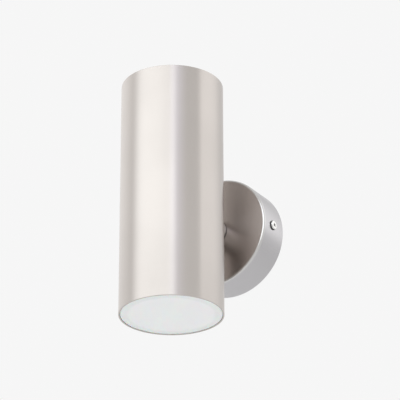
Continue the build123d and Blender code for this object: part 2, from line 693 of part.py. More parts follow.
def earth_wire():
    """The earth wire: from the bracket's tag through the pipe to the chassis tag."""
    high, far_high = barrel_ends(earth_screw_z)[1], barrel_ends(chassis_earth_z)[1]
    row, far_row = barrel_row(bracket_front), barrel_row(chassis_front)
    beyond = pipe_end_in_tube - WIRE_DIAMETER * 2
    return wire(
        "earth_wire",
        WIRE_DIAMETER,
        [
            (0, row, high - WIRE_GRIP),
            (0, row, high + WIRE_GRIP),
            (0, (row + pipe_end_in_cup) / 2 + WIRE_DIAMETER, -WIRE_DIAMETER * 3.5),
            (0, pipe_end_in_cup + WIRE_DIAMETER * 2, -WIRE_CIRCLE_RADIUS),
            (0, beyond + WIRE_DIAMETER, -WIRE_CIRCLE_RADIUS),
            (0, beyond - WIRE_DIAMETER, -WIRE_CIRCLE_RADIUS - WIRE_DIAMETER * 1.5),
            (0, beyond, -nut_corner_radius - WIRE_DIAMETER / 2),
            (0, far_row, far_high + WIRE_GRIP),
            (0, far_row, far_high - WIRE_GRIP),
        ],
    )


def led_leads(name, side, board_height):
    """A pair of leads: out of the driver's side and along the tube to an LED board."""
    wires = []
    for y in lead_rows():
        points = [
            (side * (driver_half_width - DRIVER_WALL), y, lead_exit_height),
            (side * lead_x, y, lead_exit_height),
            (side * lead_x, y, board_height),
        ]
        wires.append(wire(name, LEAD_DIAMETER, points))
    return group(wires)


# ---- All nodes ----
END_PIECES = {
    "lens": lens,
    "lens_gasket": lens_gasket,
    "reflector": reflector,
    "led_board": led_board,
    "led_chips": led_chips,
    "led_board_screws": led_board_screws,
    "heat_sink": heat_sink,
}


def all_nodes():
    """Every node by name."""
    nodes = {
        "tube_body": tube_body(),
        "backplate_cup": backplate_cup(),
        "stem_sleeve": stem_sleeve(),
        "stem_seal": stem_seal(),
        "threaded_pipe": threaded_pipe(),
        "cup_nut": pipe_nut(cup_nut_seat, 1),
        "cup_lock_washer": lock_washer(cup_face_inside, cup_nut_seat),
        "tube_nut": pipe_nut(tube_nut_seat, -1),
        "tube_lock_washer": lock_washer(chassis_front, tube_nut_seat),
        "saddle_washer": saddle_washer(),
        "chassis_bracket": chassis_bracket(),
        "chassis_earth_tag": earth_tag(chassis_front, chassis_earth_z),
        "chassis_earth_screw": earth_screw(chassis_front, CHASSIS_SHEET, chassis_earth_z),
        "driver_case": driver_case(),
        "driver_cover": driver_cover(),
        "driver_board": driver_board(),
        "driver_transformer": driver_transformer(),
        "driver_capacitors": driver_capacitors(),
        "driver_screws": driver_screws(),
        "wall_bracket": wall_bracket(),
        "cable_bush": cable_bush(),
        "terminal_block": terminal_block(),
        "terminal_clamp_screws": terminal_clamp_screws(),
        "terminal_block_screw": terminal_block_screw(),
        "bracket_earth_tag": earth_tag(bracket_front, earth_screw_z),
        "bracket_earth_screw": earth_screw(bracket_front, BRACKET_SHEET, earth_screw_z),
        "live_wire": mains_wire("live_wire", -1),
        "neutral_wire": mains_wire("neutral_wire", 1),
        "earth_wire": earth_wire(),
        "lower_led_leads": led_leads("lower_led_leads", 1, tube_bottom + board_depth),
        "upper_led_leads": led_leads("upper_led_leads", -1, tube_top - board_depth),
    }
    for name, make in END_PIECES.items():
        nodes[f"lower_{name}"] = at_bottom(make())
        nodes[f"upper_{name}"] = at_top(make())
    for name, side in (("right", 1), ("left", -1)):
        nodes[f"cover_screw_{name}"] = cover_screw(side)
        nodes[f"cover_screw_washer_{name}"] = cover_screw_washer(side)
    return nodes


def main():
    """Write one STEP file for each node."""
    os.makedirs("parts", exist_ok=True)
    for name, shape in all_nodes().items():
        export_step(shape, f"parts/{name}.step")


main()
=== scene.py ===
"""The looks of a wall light that shines up and down: a brushed tube on a short stem from a round wall cup.

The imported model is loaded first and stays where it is. Every size and place below is read from it, or is a
small named detail in metres. Each sub-assembly is a class that models its pieces and dresses them, and each
finish is a small frozen class that builds one material.
"""

import json
import logging
import math
from collections.abc import Sequence
from dataclasses import dataclass, replace
from enum import Enum
from functools import cache

import bpy
from mathutils import Euler, Matrix, Vector

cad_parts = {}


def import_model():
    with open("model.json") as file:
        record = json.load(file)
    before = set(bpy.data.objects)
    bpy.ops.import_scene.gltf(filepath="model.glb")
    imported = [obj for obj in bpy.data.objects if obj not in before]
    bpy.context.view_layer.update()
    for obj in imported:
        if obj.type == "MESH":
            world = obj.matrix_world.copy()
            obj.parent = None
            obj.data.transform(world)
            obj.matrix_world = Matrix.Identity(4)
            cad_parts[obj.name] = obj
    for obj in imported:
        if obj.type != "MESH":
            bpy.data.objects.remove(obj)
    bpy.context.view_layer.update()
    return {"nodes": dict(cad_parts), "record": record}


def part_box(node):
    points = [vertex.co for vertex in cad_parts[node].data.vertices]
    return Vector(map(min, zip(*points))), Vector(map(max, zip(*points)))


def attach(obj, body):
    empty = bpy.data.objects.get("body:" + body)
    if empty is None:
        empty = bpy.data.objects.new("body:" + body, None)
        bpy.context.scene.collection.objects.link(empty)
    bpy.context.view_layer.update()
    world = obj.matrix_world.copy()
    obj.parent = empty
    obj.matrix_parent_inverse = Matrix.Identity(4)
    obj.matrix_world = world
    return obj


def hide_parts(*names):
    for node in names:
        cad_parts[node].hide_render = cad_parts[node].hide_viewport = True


LOG = logging.getLogger("wall_light")
FULL_TURN = 2 * math.pi
QUARTER_TURN = math.pi / 2
MILLIMETRE = 0.001

Colour = tuple[float, float, float]
Piece = bpy.types.Object
Material = bpy.types.Material
Socket = bpy.types.NodeSocket
Sockets = bpy.types.bpy_prop_collection


class Axis(Enum):
    """The axis that a piece is turned about."""

    X = "X"
    Y = "Y"
    Z = "Z"

    @property
    def vector(self) -> Vector:
        """The axis as a unit vector."""
        return Vector([float(self.value == letter) for letter in "XYZ"])

    @property
    def to_z(self) -> Euler:
        """The turn that lays this axis along Z, for a Mapping node."""
        return {
            Axis.X: Euler((0, -QUARTER_TURN, 0)),
            Axis.Y: Euler((QUARTER_TURN, 0, 0)),
            Axis.Z: Euler((0, 0, 0)),
        }[self]


class Body(Enum):
    """The bodies that pieces ride on."""

    LIGHT = "light"
    RIGHT_WASHER = "right_washer"
    RIGHT_SCREW = "right_screw"
    LEFT_WASHER = "left_washer"
    LEFT_SCREW = "left_screw"


class Cut(Enum):
    """What a Boolean does with its tool."""

    AWAY = "DIFFERENCE"
    WELD = "UNION"
    WITHIN = "INTERSECT"


@dataclass(frozen=True)
class Place:
    """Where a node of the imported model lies."""

    low: Vector
    high: Vector

    @classmethod
    def of(cls, node: str) -> "Place":
        """The box of a node, by its name."""
        return cls(*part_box(node))

    @property
    def centre(self) -> Vector:
        """The middle of the box."""
        return (self.low + self.high) / 2

    @property
    def size(self) -> Vector:
        """The box's sides."""
        return self.high - self.low


# ---- Modelling ----
@dataclass(frozen=True)
class Corner:
    """One corner of an outline: its distance from the axis, its place along the axis and its rounding."""

    radius: float
    along: float
    rounding: float = 0.0

    @property
    def point(self) -> Vector:
        """The corner in the outline's plane."""
        return Vector((self.radius, self.along))

    @classmethod
    def row(cls, *corners: tuple[float, ...]) -> list["Corner"]:
        """Corners in order, each written as its radius, its place and, if it has one, its rounding."""
        return [cls(*corner) for corner in corners]


def ring(bore: float, radius: float, ends: tuple[float, float], rounding: float, inner: float = 0.0) -> list:
    """The corners of a ring or, with no bore, of a disc.

    Args:
        bore: the hole's radius.
        radius: the outer radius.
        ends: its two ends along the axis.
        rounding: the outer corners' rounding.
        inner: the inner corners' rounding.

    Returns:
        The corners in order.
    """
    low, high = ends
    outer = (radius, low, rounding), (radius, high, rounding)
    return Corner.row((bore, low, inner), *outer, (bore, high, inner))


def spindle(narrow: float, wide: float, ends: tuple[float, float], rise: float) -> list:
    """The corners of a rod whose two ends are drawn in.

    Args:
        narrow: the radius at the ends.
        wide: the radius between them.
        ends: its two ends along the axis.
        rise: the length of each drawn-in end.

    Returns:
        The corners in order.
    """
    low, high = ends
    middle = (wide, low + rise), (wide, high - rise)
    return Corner.row((0.0, low), (narrow, low), *middle, (narrow, high), (0.0, high))


def outline(corners: Sequence[Corner], steps: int) -> list[Vector]:
    """Walks along corners, and rounds those that have a rounding.

    Args:
        corners: the outline's corners in order.
        steps: straight pieces in each rounding.

    Returns:
        The points in the outline's plane.
    """
    points = []
    for i, corner in enumerate(corners):
        here = corner.point
        if corner.rounding == 0:
            points.append(here)
            continue
        others = corners[i - 1], corners[(i + 1) % len(corners)]
        back, ahead = ((other.point - here).normalized() for other in others)
        half = back.angle(ahead) / 2
        reach = corner.rounding / math.tan(half)
        centre = here + (back + ahead).normalized() * corner.rounding / math.sin(half)
        start, end = here + back * reach - centre, here + ahead * reach - centre
        sweep = start.angle(end)
        for step in range(steps + 1):
            turn = sweep * step / steps
            points.append(centre + (math.sin(sweep - turn) * start + math.sin(turn) * end) / math.sin(sweep))
    return points


class Bench:
    """Models pieces with Blender's operators, one mesh at a time."""

    SMOOTH_ANGLE = math.radians(32)
    SHARP_ANGLE = math.radians(30)
    FLAT_ANGLE = math.radians(1)
    WELD = 1e-7
    THREAD_DEPTH = 0.6
    THREAD_CREST = (0.42, 0.58)
    THREAD_RUN_IN = 1.39

    @staticmethod
    def clear() -> None:
        """Leaves edit mode and deselects everything."""
        if bpy.context.object is not None and bpy.context.object.mode != "OBJECT":
            bpy.ops.object.mode_set(mode="OBJECT")
        bpy.ops.object.select_all(action="DESELECT")

    @classmethod
    def pick(cls, *pieces: Piece) -> None:
        """Selects pieces and makes the first one active."""
        cls.clear()
        for piece in pieces:
            piece.select_set(True)
        bpy.context.view_layer.objects.active = pieces[0]

    @classmethod
    def merge(cls, piece: Piece) -> None:
        """Enters edit mode on a piece and merges its doubles."""
        cls.pick(piece)
        bpy.ops.object.mode_set(mode="EDIT")
        bpy.ops.mesh.select_all(action="SELECT")
        bpy.ops.mesh.remove_doubles(threshold=cls.WELD)

    @classmethod
    def close(cls, piece: Piece) -> None:
        """Merges a piece's doubles and turns its faces outwards."""
        cls.merge(piece)
        bpy.ops.mesh.normals_make_consistent(inside=False)
        bpy.ops.object.mode_set(mode="OBJECT")

    @classmethod
    def settle(cls, piece: Piece, name: str) -> Piece:
        """Puts a piece's place into its mesh, smooths it and names it.

        Args:
            piece: the modelled object.
            name: its new name.

        Returns:
            The same object.
        """
        cls.pick(piece)
        bpy.ops.object.transform_apply()
        bpy.ops.object.shade_smooth_by_angle(angle=cls.SMOOTH_ANGLE)
        piece.name = piece.data.name = name
        cls.clear()
        return piece

    @classmethod
    def modify(cls, piece: Piece, kind: str, **settings: object) -> None:
        """Adds a modifier and applies it.

        Args:
            piece: the object that it changes.
            kind: the modifier's type.
            settings: the modifier's settings.
        """
        cls.pick(piece)
        bpy.ops.object.modifier_add(type=kind)
        modifier = piece.modifiers[-1]
        for setting, value in settings.items():
            setattr(modifier, setting, value)
        bpy.ops.object.modifier_apply(modifier=modifier.name)
        cls.clear()

    @classmethod
    def trace(cls, points: Sequence[Vector]) -> Piece:
        """Draws a line of edges from point to point, and stays in edit mode on it."""
        cls.clear()
        bpy.ops.mesh.primitive_plane_add(size=MILLIMETRE, location=points[0])
        piece = bpy.context.object
        bpy.ops.object.mode_set(mode="EDIT")
        bpy.ops.mesh.select_mode(type="VERT")
        bpy.ops.mesh.select_all(action="SELECT")
        bpy.ops.mesh.merge(type="CENTER")
        for here, there in zip(points, points[1:]):
            bpy.ops.mesh.extrude_vertices_move(TRANSFORM_OT_translate={"value": there - here})
        return piece

    @classmethod
    def turned(
        cls, name: str, axis: Axis, centre: Vector, corners: Sequence[Corner], steps: int = 96, curve: int = 5
    ) -> Piece:
        """Spins an outline about an axis. It closes on itself, unless it starts and ends on the axis.

        Args:
            name: the piece's name.
            axis: the axis that it is turned about.
            centre: a point on that axis.
            corners: the outline's corners.
            steps: faces round the piece.
            curve: straight pieces in each rounding.

        Returns:
            The piece, with its place in its mesh.
        """
        outward = Vector((0, 0, 1)) if axis is Axis.X else Vector((1, 0, 0))
        on_axis = centre - axis.vector * centre.dot(axis.vector)
        points = [on_axis + outward * point.x + axis.vector * point.y for point in outline(corners, curve)]
        if corners[0].radius:
            points.append(points[0])
        piece = cls.trace(points)
        bpy.ops.mesh.select_all(action="SELECT")
        bpy.ops.mesh.spin(steps=steps, angle=FULL_TURN, center=on_axis, axis=axis.vector)
        cls.close(piece)
        return cls.settle(piece, name)

    @classmethod
    def rod(cls, axis: Axis, centre: Vector, radius: float, length: float, sides: int = 48) -> Piece:
        """A plain rod, to cut or weld with.

        Args:
            axis: the rod's direction.
            centre: its middle.
            radius: its radius.
            length: its length.
            sides: faces round it.

        Returns:
            The rod.
        """
        turn = {Axis.X: (0, QUARTER_TURN, 0), Axis.Y: (QUARTER_TURN, 0, 0), Axis.Z: (0, 0, 0)}[axis]
        sizes = {"vertices": sides, "radius": radius, "depth": length}
        cls.clear()
        bpy.ops.mesh.primitive_cylinder_add(location=centre, rotation=turn, **sizes)
        return bpy.context.object

    @classmethod
    def block(cls, low: Vector, high: Vector, taper: float = 1.0) -> Piece:
        """A block between two corners, its lower end drawn in by a taper.

        Args:
            low: its lowest corner.
            high: its highest corner.
            taper: the lower face's size as a share of the upper one's.

        Returns:
            The block.
        """
        cls.clear()
        bpy.ops.mesh.primitive_cube_add(size=1, location=(low + high) / 2)
        piece = bpy.context.object
        piece.scale = high - low
        bpy.ops.object.transform_apply()
        if taper != 1.0:
            bpy.ops.object.mode_set(mode="EDIT")
            bpy.ops.mesh.select_mode(type="FACE")
            bpy.ops.mesh.select_all(action="DESELECT")
            bpy.ops.object.mode_set(mode="OBJECT")
            for face in piece.data.polygons:
                face.select = face.normal.z < -0.5
            bpy.ops.object.mode_set(mode="EDIT")
            bpy.ops.transform.resize(value=(taper, taper, 1), center_override=(low + high) / 2)
            bpy.ops.object.mode_set(mode="OBJECT")
        return piece

    @classmethod
    def combine(cls, piece: Piece, tool: Piece, cut: Cut = Cut.AWAY) -> None:
        """Cuts a tool from a piece, welds it on or keeps what is within it, and removes the tool.

        Args:
            piece: the object that is changed.
            tool: the object that changes it.
            cut: what is done.
        """
        cls.modify(piece, "BOOLEAN", operation=cut.value, object=tool, solver="EXACT")
        bpy.data.objects.remove(tool)

    @classmethod
    def threaded(cls, radius: float, pitch: float, low: float, high: float, steps: int = 32) -> Piece:
        """A threaded rod along Z, cut flat at both ends.

        Args:
            radius: the thread's outer radius.
            pitch: the rise of one turn.
            low: the height of its lower end.
            high: the height of its upper end.
            steps: faces in one turn.

        Returns:
            The rod.
        """
        root, start = radius - cls.THREAD_DEPTH * pitch, low - cls.THREAD_RUN_IN * pitch
        crest = [(radius, share * pitch) for share in cls.THREAD_CREST]
        heights = ((root, 0.0), *crest, (root, pitch))
        piece = cls.trace([Vector((reach, 0, start + rise)) for reach, rise in heights])
        bpy.ops.object.mode_set(mode="OBJECT")
        bpy.ops.object.transform_apply()
        turns = math.ceil((high - start) / pitch) + 1
        rounds = {"iterations": turns, "steps": steps, "render_steps": steps}
        cls.modify(piece, "SCREW", axis="Z", screw_offset=pitch, **rounds)
        cls.merge(piece)
        bpy.ops.mesh.select_mode(type="EDGE")
        bpy.ops.mesh.select_all(action="DESELECT")
        bpy.ops.mesh.select_non_manifold(extend=False)
        bpy.ops.mesh.extrude_region()
        bpy.ops.mesh.merge(type="COLLAPSE")
        cls.close(piece)
        wide = 2 * radius
        cls.combine(piece, cls.block(Vector((-wide, -wide, low)), Vector((wide, wide, high))), Cut.WITHIN)
        return cls.settle(piece, "thread")

    @classmethod
    def aim(cls, piece: Piece, towards: Vector, seat: Vector, roll: float = 0.0) -> Piece:
        """Points a piece that was made along Z in a direction, with its origin at a seat.

        Args:
            piece: the piece.
            towards: where its +Z goes.
            seat: where its origin goes.
            roll: its turn about its own axis.

        Returns:
            The same piece.
        """
        turn = towards.to_track_quat("Z", "Y").to_matrix() @ Matrix.Rotation(roll, 3, "Z")
        piece.rotation_euler = turn.to_euler()
        piece.location = seat
        return cls.settle(piece, piece.name)

    @classmethod
    def copy(cls, piece: Piece, name: str) -> Piece:
        """A copy of a piece with its own mesh."""
        cls.pick(piece)
        bpy.ops.object.duplicate(linked=False)
        twin = bpy.context.object
        twin.name = twin.data.name = name
        cls.clear()
        return twin

    @classmethod
    def eased(cls, node: Piece, name: str, rounding: float) -> Piece:
        """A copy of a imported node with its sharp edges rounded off, as deburred metal has them.

        Args:
            node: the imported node's object.
            name: the new piece's name.
            rounding: the width of the rounding.

        Returns:
            The new piece.
        """
        piece = cls.copy(node, name)
        cls.merge(piece)
        bpy.ops.mesh.dissolve_limited(angle_limit=cls.FLAT_ANGLE)
        bpy.ops.object.mode_set(mode="OBJECT")
        sharp = {"limit_method": "ANGLE", "angle_limit": cls.SHARP_ANGLE}
        cls.modify(piece, "BEVEL", width=rounding, segments=2, **sharp)
        cls.settle(piece, name)
        cls.modify(piece, "WEIGHTED_NORMAL", keep_sharp=True, weight=100)
        return piece


# ---- Shader node helpers ----
class Nodes:
    """Adds nodes to one tree and joins them."""

    def __init__(self, tree: bpy.types.NodeTree) -> None:
        """Starts on a tree, and empties it."""
        self.tree = tree
        tree.nodes.clear()

    def add(self, kind: str, inputs: dict | None = None, **settings: object) -> Sockets:
        """Adds a node.

        Args:
            kind: the node's type, without "ShaderNode".
            inputs: for each input, by name or number, a value or the socket that feeds it.
            settings: the node's own settings.

        Returns:
            The node's outputs.
        """
        node = self.tree.nodes.new(kind if kind.startswith("Node") else f"ShaderNode{kind}")
        for name, value in settings.items():
            setattr(node, name, value)
        for key, value in (inputs or {}).items():
            if isinstance(value, Socket):
                self.tree.links.new(value, node.inputs[key])
            else:
                node.inputs[key].default_value = value
        return node.outputs

    def math(self, operation: str, *values: object) -> Socket:
        """A Math node's result."""
        return self.add("Math", dict(enumerate(values)), operation=operation)[0]

    def vector(self, operation: str, *values: object) -> Socket:
        """A Vector Math node's result."""
        outputs = self.add("VectorMath", dict(enumerate(values)), operation=operation)
        return outputs["Value" if operation == "LENGTH" else "Vector"]

    def noise(self, point: Socket, scale: object, detail: float, roughness: float = 0.5) -> Socket:
        """A Noise Texture's value at a point."""
        inputs = {"Vector": point, "Scale": scale, "Detail": detail, "Roughness": roughness}
        return self.add("TexNoise", inputs)[0]

    def ramp(self, value: object, low: float, high: float, start: float = 0.0, end: float = 1.0) -> Socket:
        """A smooth step: start up to low, end from high on.

        Args:
            value: the socket that is mapped.
            low: where the step begins.
            high: where it ends.
            start: the result before it.
            end: the result after it.

        Returns:
            The mapped value.
        """
        inputs = {"Value": value, "From Min": low, "From Max": high, "To Min": start, "To Max": end}
        return self.add("MapRange", inputs, interpolation_type="SMOOTHSTEP")["Result"]

    def mix(self, factor: object, first: object, second: object) -> Socket:
        """A mix of two colours, each written out or a socket, by a factor."""
        colours = [(*colour, 1) if isinstance(colour, tuple) else colour for colour in (first, second)]
        return self.add("Mix", {0: factor, 6: colours[0], 7: colours[1]}, data_type="RGBA")[2]


class Effects:
    """The node groups that several finishes share, each built once."""

    @staticmethod
    def start(name: str, inputs: dict[str, float | None], *outputs: str) -> tuple[Nodes, Sockets]:
        """Starts a group.

        Args:
            name: the group's name.
            inputs: the usual value of each input, or None for a vector.
            outputs: its output values' names.

        Returns:
            The group's nodes and its inputs' sockets.
        """
        tree = bpy.data.node_groups.new(name, "ShaderNodeTree")
        for label, usual in inputs.items():
            kind = "NodeSocketVector" if usual is None else "NodeSocketFloat"
            socket = tree.interface.new_socket(label, in_out="INPUT", socket_type=kind)
            if usual is not None:
                socket.default_value = usual
        for label in outputs:
            tree.interface.new_socket(label, in_out="OUTPUT", socket_type="NodeSocketFloat")
        nodes = Nodes(tree)
        return nodes, nodes.add("NodeGroupInput")

    @staticmethod
    @cache
    def turned_lines() -> bpy.types.NodeTree:
        """Fine brush lines round the Z axis: in rings on a flat face and round the wall of a tube."""
        inputs = {"Vector": None, "Fineness": 6000.0, "Drift": 3.0}
        nodes, given = Effects.start("turned lines", inputs, "Lines", "Height", "Along")
        x, y, z = nodes.add("SeparateXYZ", {0: given["Vector"]})
        squares = nodes.math("ADD", nodes.math("MULTIPLY", x, x), nodes.math("MULTIPLY", y, y))
        along = nodes.math("ADD", nodes.math("SQRT", squares), z)
        pairs = enumerate(((x, "Drift"), (y, "Drift"), (along, "Fineness")))
        scaled = {i: nodes.math("MULTIPLY", part, given[factor]) for i, (part, factor) in pairs}
        stretched = nodes.add("CombineXYZ", scaled)[0]
        broad, fine = nodes.noise(stretched, 0.22, 3.0, 0.6), nodes.noise(stretched, 1.0, 4.0, 0.7)
        both = nodes.math("ADD", nodes.math("MULTIPLY", broad, 0.35), nodes.math("MULTIPLY", fine, 0.65))
        nodes.add("NodeGroupOutput", {0: nodes.ramp(both, 0.3, 0.7), 1: fine, 2: along})
        return nodes.tree

    @staticmethod
    @cache
    def smudges() -> bpy.types.NodeTree:
        """Faint patches of handling, wide and soft."""
        nodes, given = Effects.start("smudges", {"Vector": None, "Scale": 22.0, "Coverage": 0.5}, "Mask")
        wide = nodes.noise(given["Vector"], given["Scale"], 4.0)
        edge = nodes.math("SUBTRACT", 0.75, nodes.math("MULTIPLY", given["Coverage"], 0.5))
        nodes.add("NodeGroupOutput", {0: nodes.ramp(nodes.math("SUBTRACT", wide, edge), -0.12, 0.16)})
        return nodes.tree

    @staticmethod
    @cache
    def grain() -> bpy.types.NodeTree:
        """Fine even grain, as on moulded, cast and frosted surfaces."""
        nodes, given = Effects.start("grain", {"Vector": None, "Scale": 1500.0}, "Height", "Patches")
        fine = nodes.noise(given["Vector"], given["Scale"], 3.0, 0.65)
        slow = nodes.noise(given["Vector"], nodes.math("MULTIPLY", given["Scale"], 0.05), 2.0)
        nodes.add("NodeGroupOutput", {0: fine, 1: nodes.ramp(slow, 0.35, 0.65)})
        return nodes.tree


# ---- Finishes ----
def tinted(colour: Colour, share: float) -> Colour:
    """A colour times a share, at most white."""
    return tuple(min(1.0, channel * share) for channel in colour)


@dataclass(frozen=True)
class Smudges:
    """How fine smudges are, how much of the surface they take and how much rougher they are."""

    scale: float
    coverage: float
    rise: float


@dataclass(frozen=True)
class Finish:
    """What every finish has: a name, a colour and a roughness."""

    name: str
    colour: Colour
    roughness: float

    def shade(self, share: float) -> Colour:
        """The finish's colour, lighter or darker by a share."""
        return tinted(self.colour, 1 + share)

    def smudged(self, nodes: Nodes, point: Socket, rough: object, smudges: Smudges) -> Socket:
        """A roughness that is higher in smudges."""
        values = {"Vector": point, "Scale": smudges.scale, "Coverage": smudges.coverage}
        mask = nodes.add("Group", values, node_tree=Effects.smudges())["Mask"]
        return nodes.math("MULTIPLY_ADD", mask, smudges.rise, rough)

    def inputs(self, nodes: Nodes, point: Socket) -> dict:
        """The shader's inputs at a surface point in the model's own coordinates."""
        raise NotImplementedError

    def material(self) -> Material:
        """Builds the material."""
        material = bpy.data.materials.new(self.name)
        material.use_nodes = True
        nodes = Nodes(material.node_tree)
        inputs = self.inputs(nodes, nodes.add("TexCoord")["Object"])
        nodes.add("OutputMaterial", {"Surface": nodes.add("BsdfPrincipled", inputs)[0]})
        return material


@dataclass(frozen=True)
class BrushedMetal(Finish):
    """Metal brushed in fine lines round an axis, so that highlights stretch across the lines."""

    axis: Axis = Axis.Z
    centre: tuple[float, float, float] = (0.0, 0.0, 0.0)
    anisotropy: float = 0.97
    fineness: float = 6000.0
    drift: float = 3.0
    line_contrast: float = 0.02
    line_roughness: float = 0.02
    smudges: Smudges = Smudges(24.0, 0.45, 0.02)
    bump: float = 0.01
    relief: float = 0.02 * MILLIMETRE

    def tone(self, nodes: Nodes, lines: Sockets) -> Socket:
        """The metal's colour, a little lighter and darker from line to line."""
        light, dark = self.shade(self.line_contrast), self.shade(-self.line_contrast)
        return nodes.mix(lines["Lines"], dark, light)

    def gloss(self, nodes: Nodes, lines: Sockets) -> Socket:
        """The metal's roughness from line to line."""
        low = self.roughness - self.line_roughness / 2
        return nodes.math("MULTIPLY_ADD", lines["Lines"], self.line_roughness, low)

    def inputs(self, nodes: Nodes, point: Socket) -> dict:
        """The shader's inputs, with the lines laid round the axis.

        Args:
            nodes: the material's nodes.
            point: the surface point.

        Returns:
            A value or socket for each input.
        """
        centred = nodes.vector("SUBTRACT", point, self.centre)
        turned = nodes.add("Mapping", {"Vector": centred, "Rotation": self.axis.to_z})[0]
        values = {"Vector": turned, "Fineness": self.fineness, "Drift": self.drift}
        lines = nodes.add("Group", values, node_tree=Effects.turned_lines())
        bump = {"Strength": self.bump, "Distance": self.relief, "Height": lines["Height"]}
        return {
            "Base Color": self.tone(nodes, lines),
            "Metallic": 1.0,
            "Roughness": self.smudged(nodes, point, self.gloss(nodes, lines), self.smudges),
            "Anisotropic": self.anisotropy,
            "Anisotropic Rotation": 0.25,
            "Tangent": nodes.add("Tangent", direction_type="RADIAL", axis=self.axis.value)[0],
            "Normal": nodes.add("Bump", bump)[0],
        }


@dataclass(frozen=True)
class CupMetal(BrushedMetal):
    """The cup's metal: a brushed face painted darker as painted shade, a side painted cooler as a painted
    reflection tint, and a polished rounding, smoother and painted lighter as a painted highlight.

    The brush lines' own measure runs outwards over the face, round the edge and back along the side.
    """

    face_end: float = 0.0
    side_start: float = 0.0
    # A darker colour for the face: painted shade.
    face_shade_colour: Colour = (0.485, 0.445, 0.425)
    # A lighter colour for the rounding: a painted highlight.
    edge_highlight_colour: Colour = (0.56, 0.55, 0.54)
    edge_roughness: float = 0.16
    blend: float = 0.3 * MILLIMETRE

    def edge(self, nodes: Nodes, lines: Sockets) -> Socket:
        """The mask of the rounding between the face and the side."""
        rising = nodes.ramp(lines["Along"], self.face_end, self.face_end + self.blend)
        falling = nodes.ramp(lines["Along"], self.side_start - self.blend, self.side_start, 1.0, 0.0)
        return nodes.math("MULTIPLY", rising, falling)

    def tone(self, nodes: Nodes, lines: Sockets) -> Socket:
        """The colour of the face, painted darker as painted shade, of the rounding, painted lighter as a
        painted highlight, and of the side, painted cooler as a painted reflection tint.
        """
        middle = (self.face_end + self.side_start) / 2
        side = nodes.ramp(lines["Along"], middle - self.blend, middle + self.blend)
        shares = (1 - self.line_contrast, 1 + self.line_contrast)
        # The face's darker colour is painted shade, and the side's cooler colour is a painted reflection
        # tint.
        dark, light = (
            nodes.mix(side, tinted(self.face_shade_colour, share), tinted(self.colour, share)) for share in shares
        )
        # The rounding's lighter colour is a painted highlight.
        return nodes.mix(self.edge(nodes, lines), nodes.mix(lines["Lines"], dark, light), self.edge_highlight_colour)

    def gloss(self, nodes: Nodes, lines: Sockets) -> Socket:
        """The roughness, lower on the polished rounding."""
        drop = nodes.math("MULTIPLY", self.edge(nodes, lines), self.roughness - self.edge_roughness)
        return nodes.math("SUBTRACT", super().gloss(nodes, lines), drop)


@dataclass(frozen=True)
class Grained(Finish):
    """A surface with faint patches and a fine grain, rougher in smudges or in its patches."""

    patch_contrast: float = 0.04
    grain: float = 1400.0
    bump: float = 0.1
    relief: float = 0.05 * MILLIMETRE
    smudges: Smudges = Smudges(45.0, 0.4, 0.08)
    patch_roughness: float = 0.0
    plain: tuple[tuple[str, float], ...] = ()

    def tone(self, nodes: Nodes, point: Socket, patches: Socket) -> Socket:
        """The colour, a little lighter and darker in patches."""
        return nodes.mix(patches, self.shade(-self.patch_contrast), self.shade(self.patch_contrast))

    def inputs(self, nodes: Nodes, point: Socket) -> dict:
        """The shader's inputs, with its grain's relief and its plain values.

        Args:
            nodes: the material's nodes.
            point: the surface point.

        Returns:
            A value or socket for each input.
        """
        grain = nodes.add("Group", {"Vector": point, "Scale": self.grain}, node_tree=Effects.grain())
        bump = {"Strength": self.bump, "Distance": self.relief, "Height": grain["Height"]}
        if self.patch_roughness:
            rough = nodes.math("MULTIPLY_ADD", grain["Patches"], self.patch_roughness, self.roughness)
        else:
            rough = self.smudged(nodes, point, self.roughness, self.smudges)
        colour, normal = self.tone(nodes, point, grain["Patches"]), nodes.add("Bump", bump)[0]
        return dict(self.plain) | {"Base Color": colour, "Roughness": rough, "Normal": normal}


@dataclass(frozen=True)
class PlainMetal(Grained):
    """Sheet or machined metal."""

    patch_contrast: float = 0.06
    grain: float = 900.0
    bump: float = 0.08
    smudges: Smudges = Smudges(60.0, 0.5, 0.12)
    plain: tuple[tuple[str, float], ...] = (("Metallic", 1.0),)


@dataclass(frozen=True)
class ScrewMetal(PlainMetal):
    """The cover screws' bright steel, dull and dark in the recess: painted shade, together with dirt where
    the driver and dust reach.
    """

    head_top: float = 0.0
    head_seat: float = 0.0
    axis_y: float = 0.0
    # The recess's dark colour: painted shade, together with dirt.
    recess_shade_and_dirt_colour: Colour = (0.16, 0.15, 0.15)
    head_limit: float = 2.4 * MILLIMETRE
    shank_limit: float = 1.05 * MILLIMETRE
    edge: float = 0.15 * MILLIMETRE

    def tone(self, nodes: Nodes, point: Socket, patches: Socket) -> Socket:
        """The steel's colour, painted dark below the head's top near the screw's axis: painted shade,
        together with dirt.
        """
        x, y, z = nodes.add("SeparateXYZ", {0: point})
        depth = nodes.math("ABSOLUTE", x)
        off_axis = nodes.add("CombineXYZ", {1: nodes.math("SUBTRACT", y, self.axis_y), 2: z})[0]
        seat, top = self.head_seat, self.head_top - self.edge
        limit = nodes.ramp(depth, seat, seat + self.edge / 5, self.shank_limit, self.head_limit)
        within = nodes.math("LESS_THAN", nodes.vector("LENGTH", off_axis), limit)
        # The recess is painted dark: painted shade, together with dirt.
        recess = nodes.math("MULTIPLY", within, nodes.ramp(depth, top - self.edge, top, 1.0, 0.0))
        return nodes.mix(recess, super().tone(nodes, point, patches), self.recess_shade_and_dirt_colour)


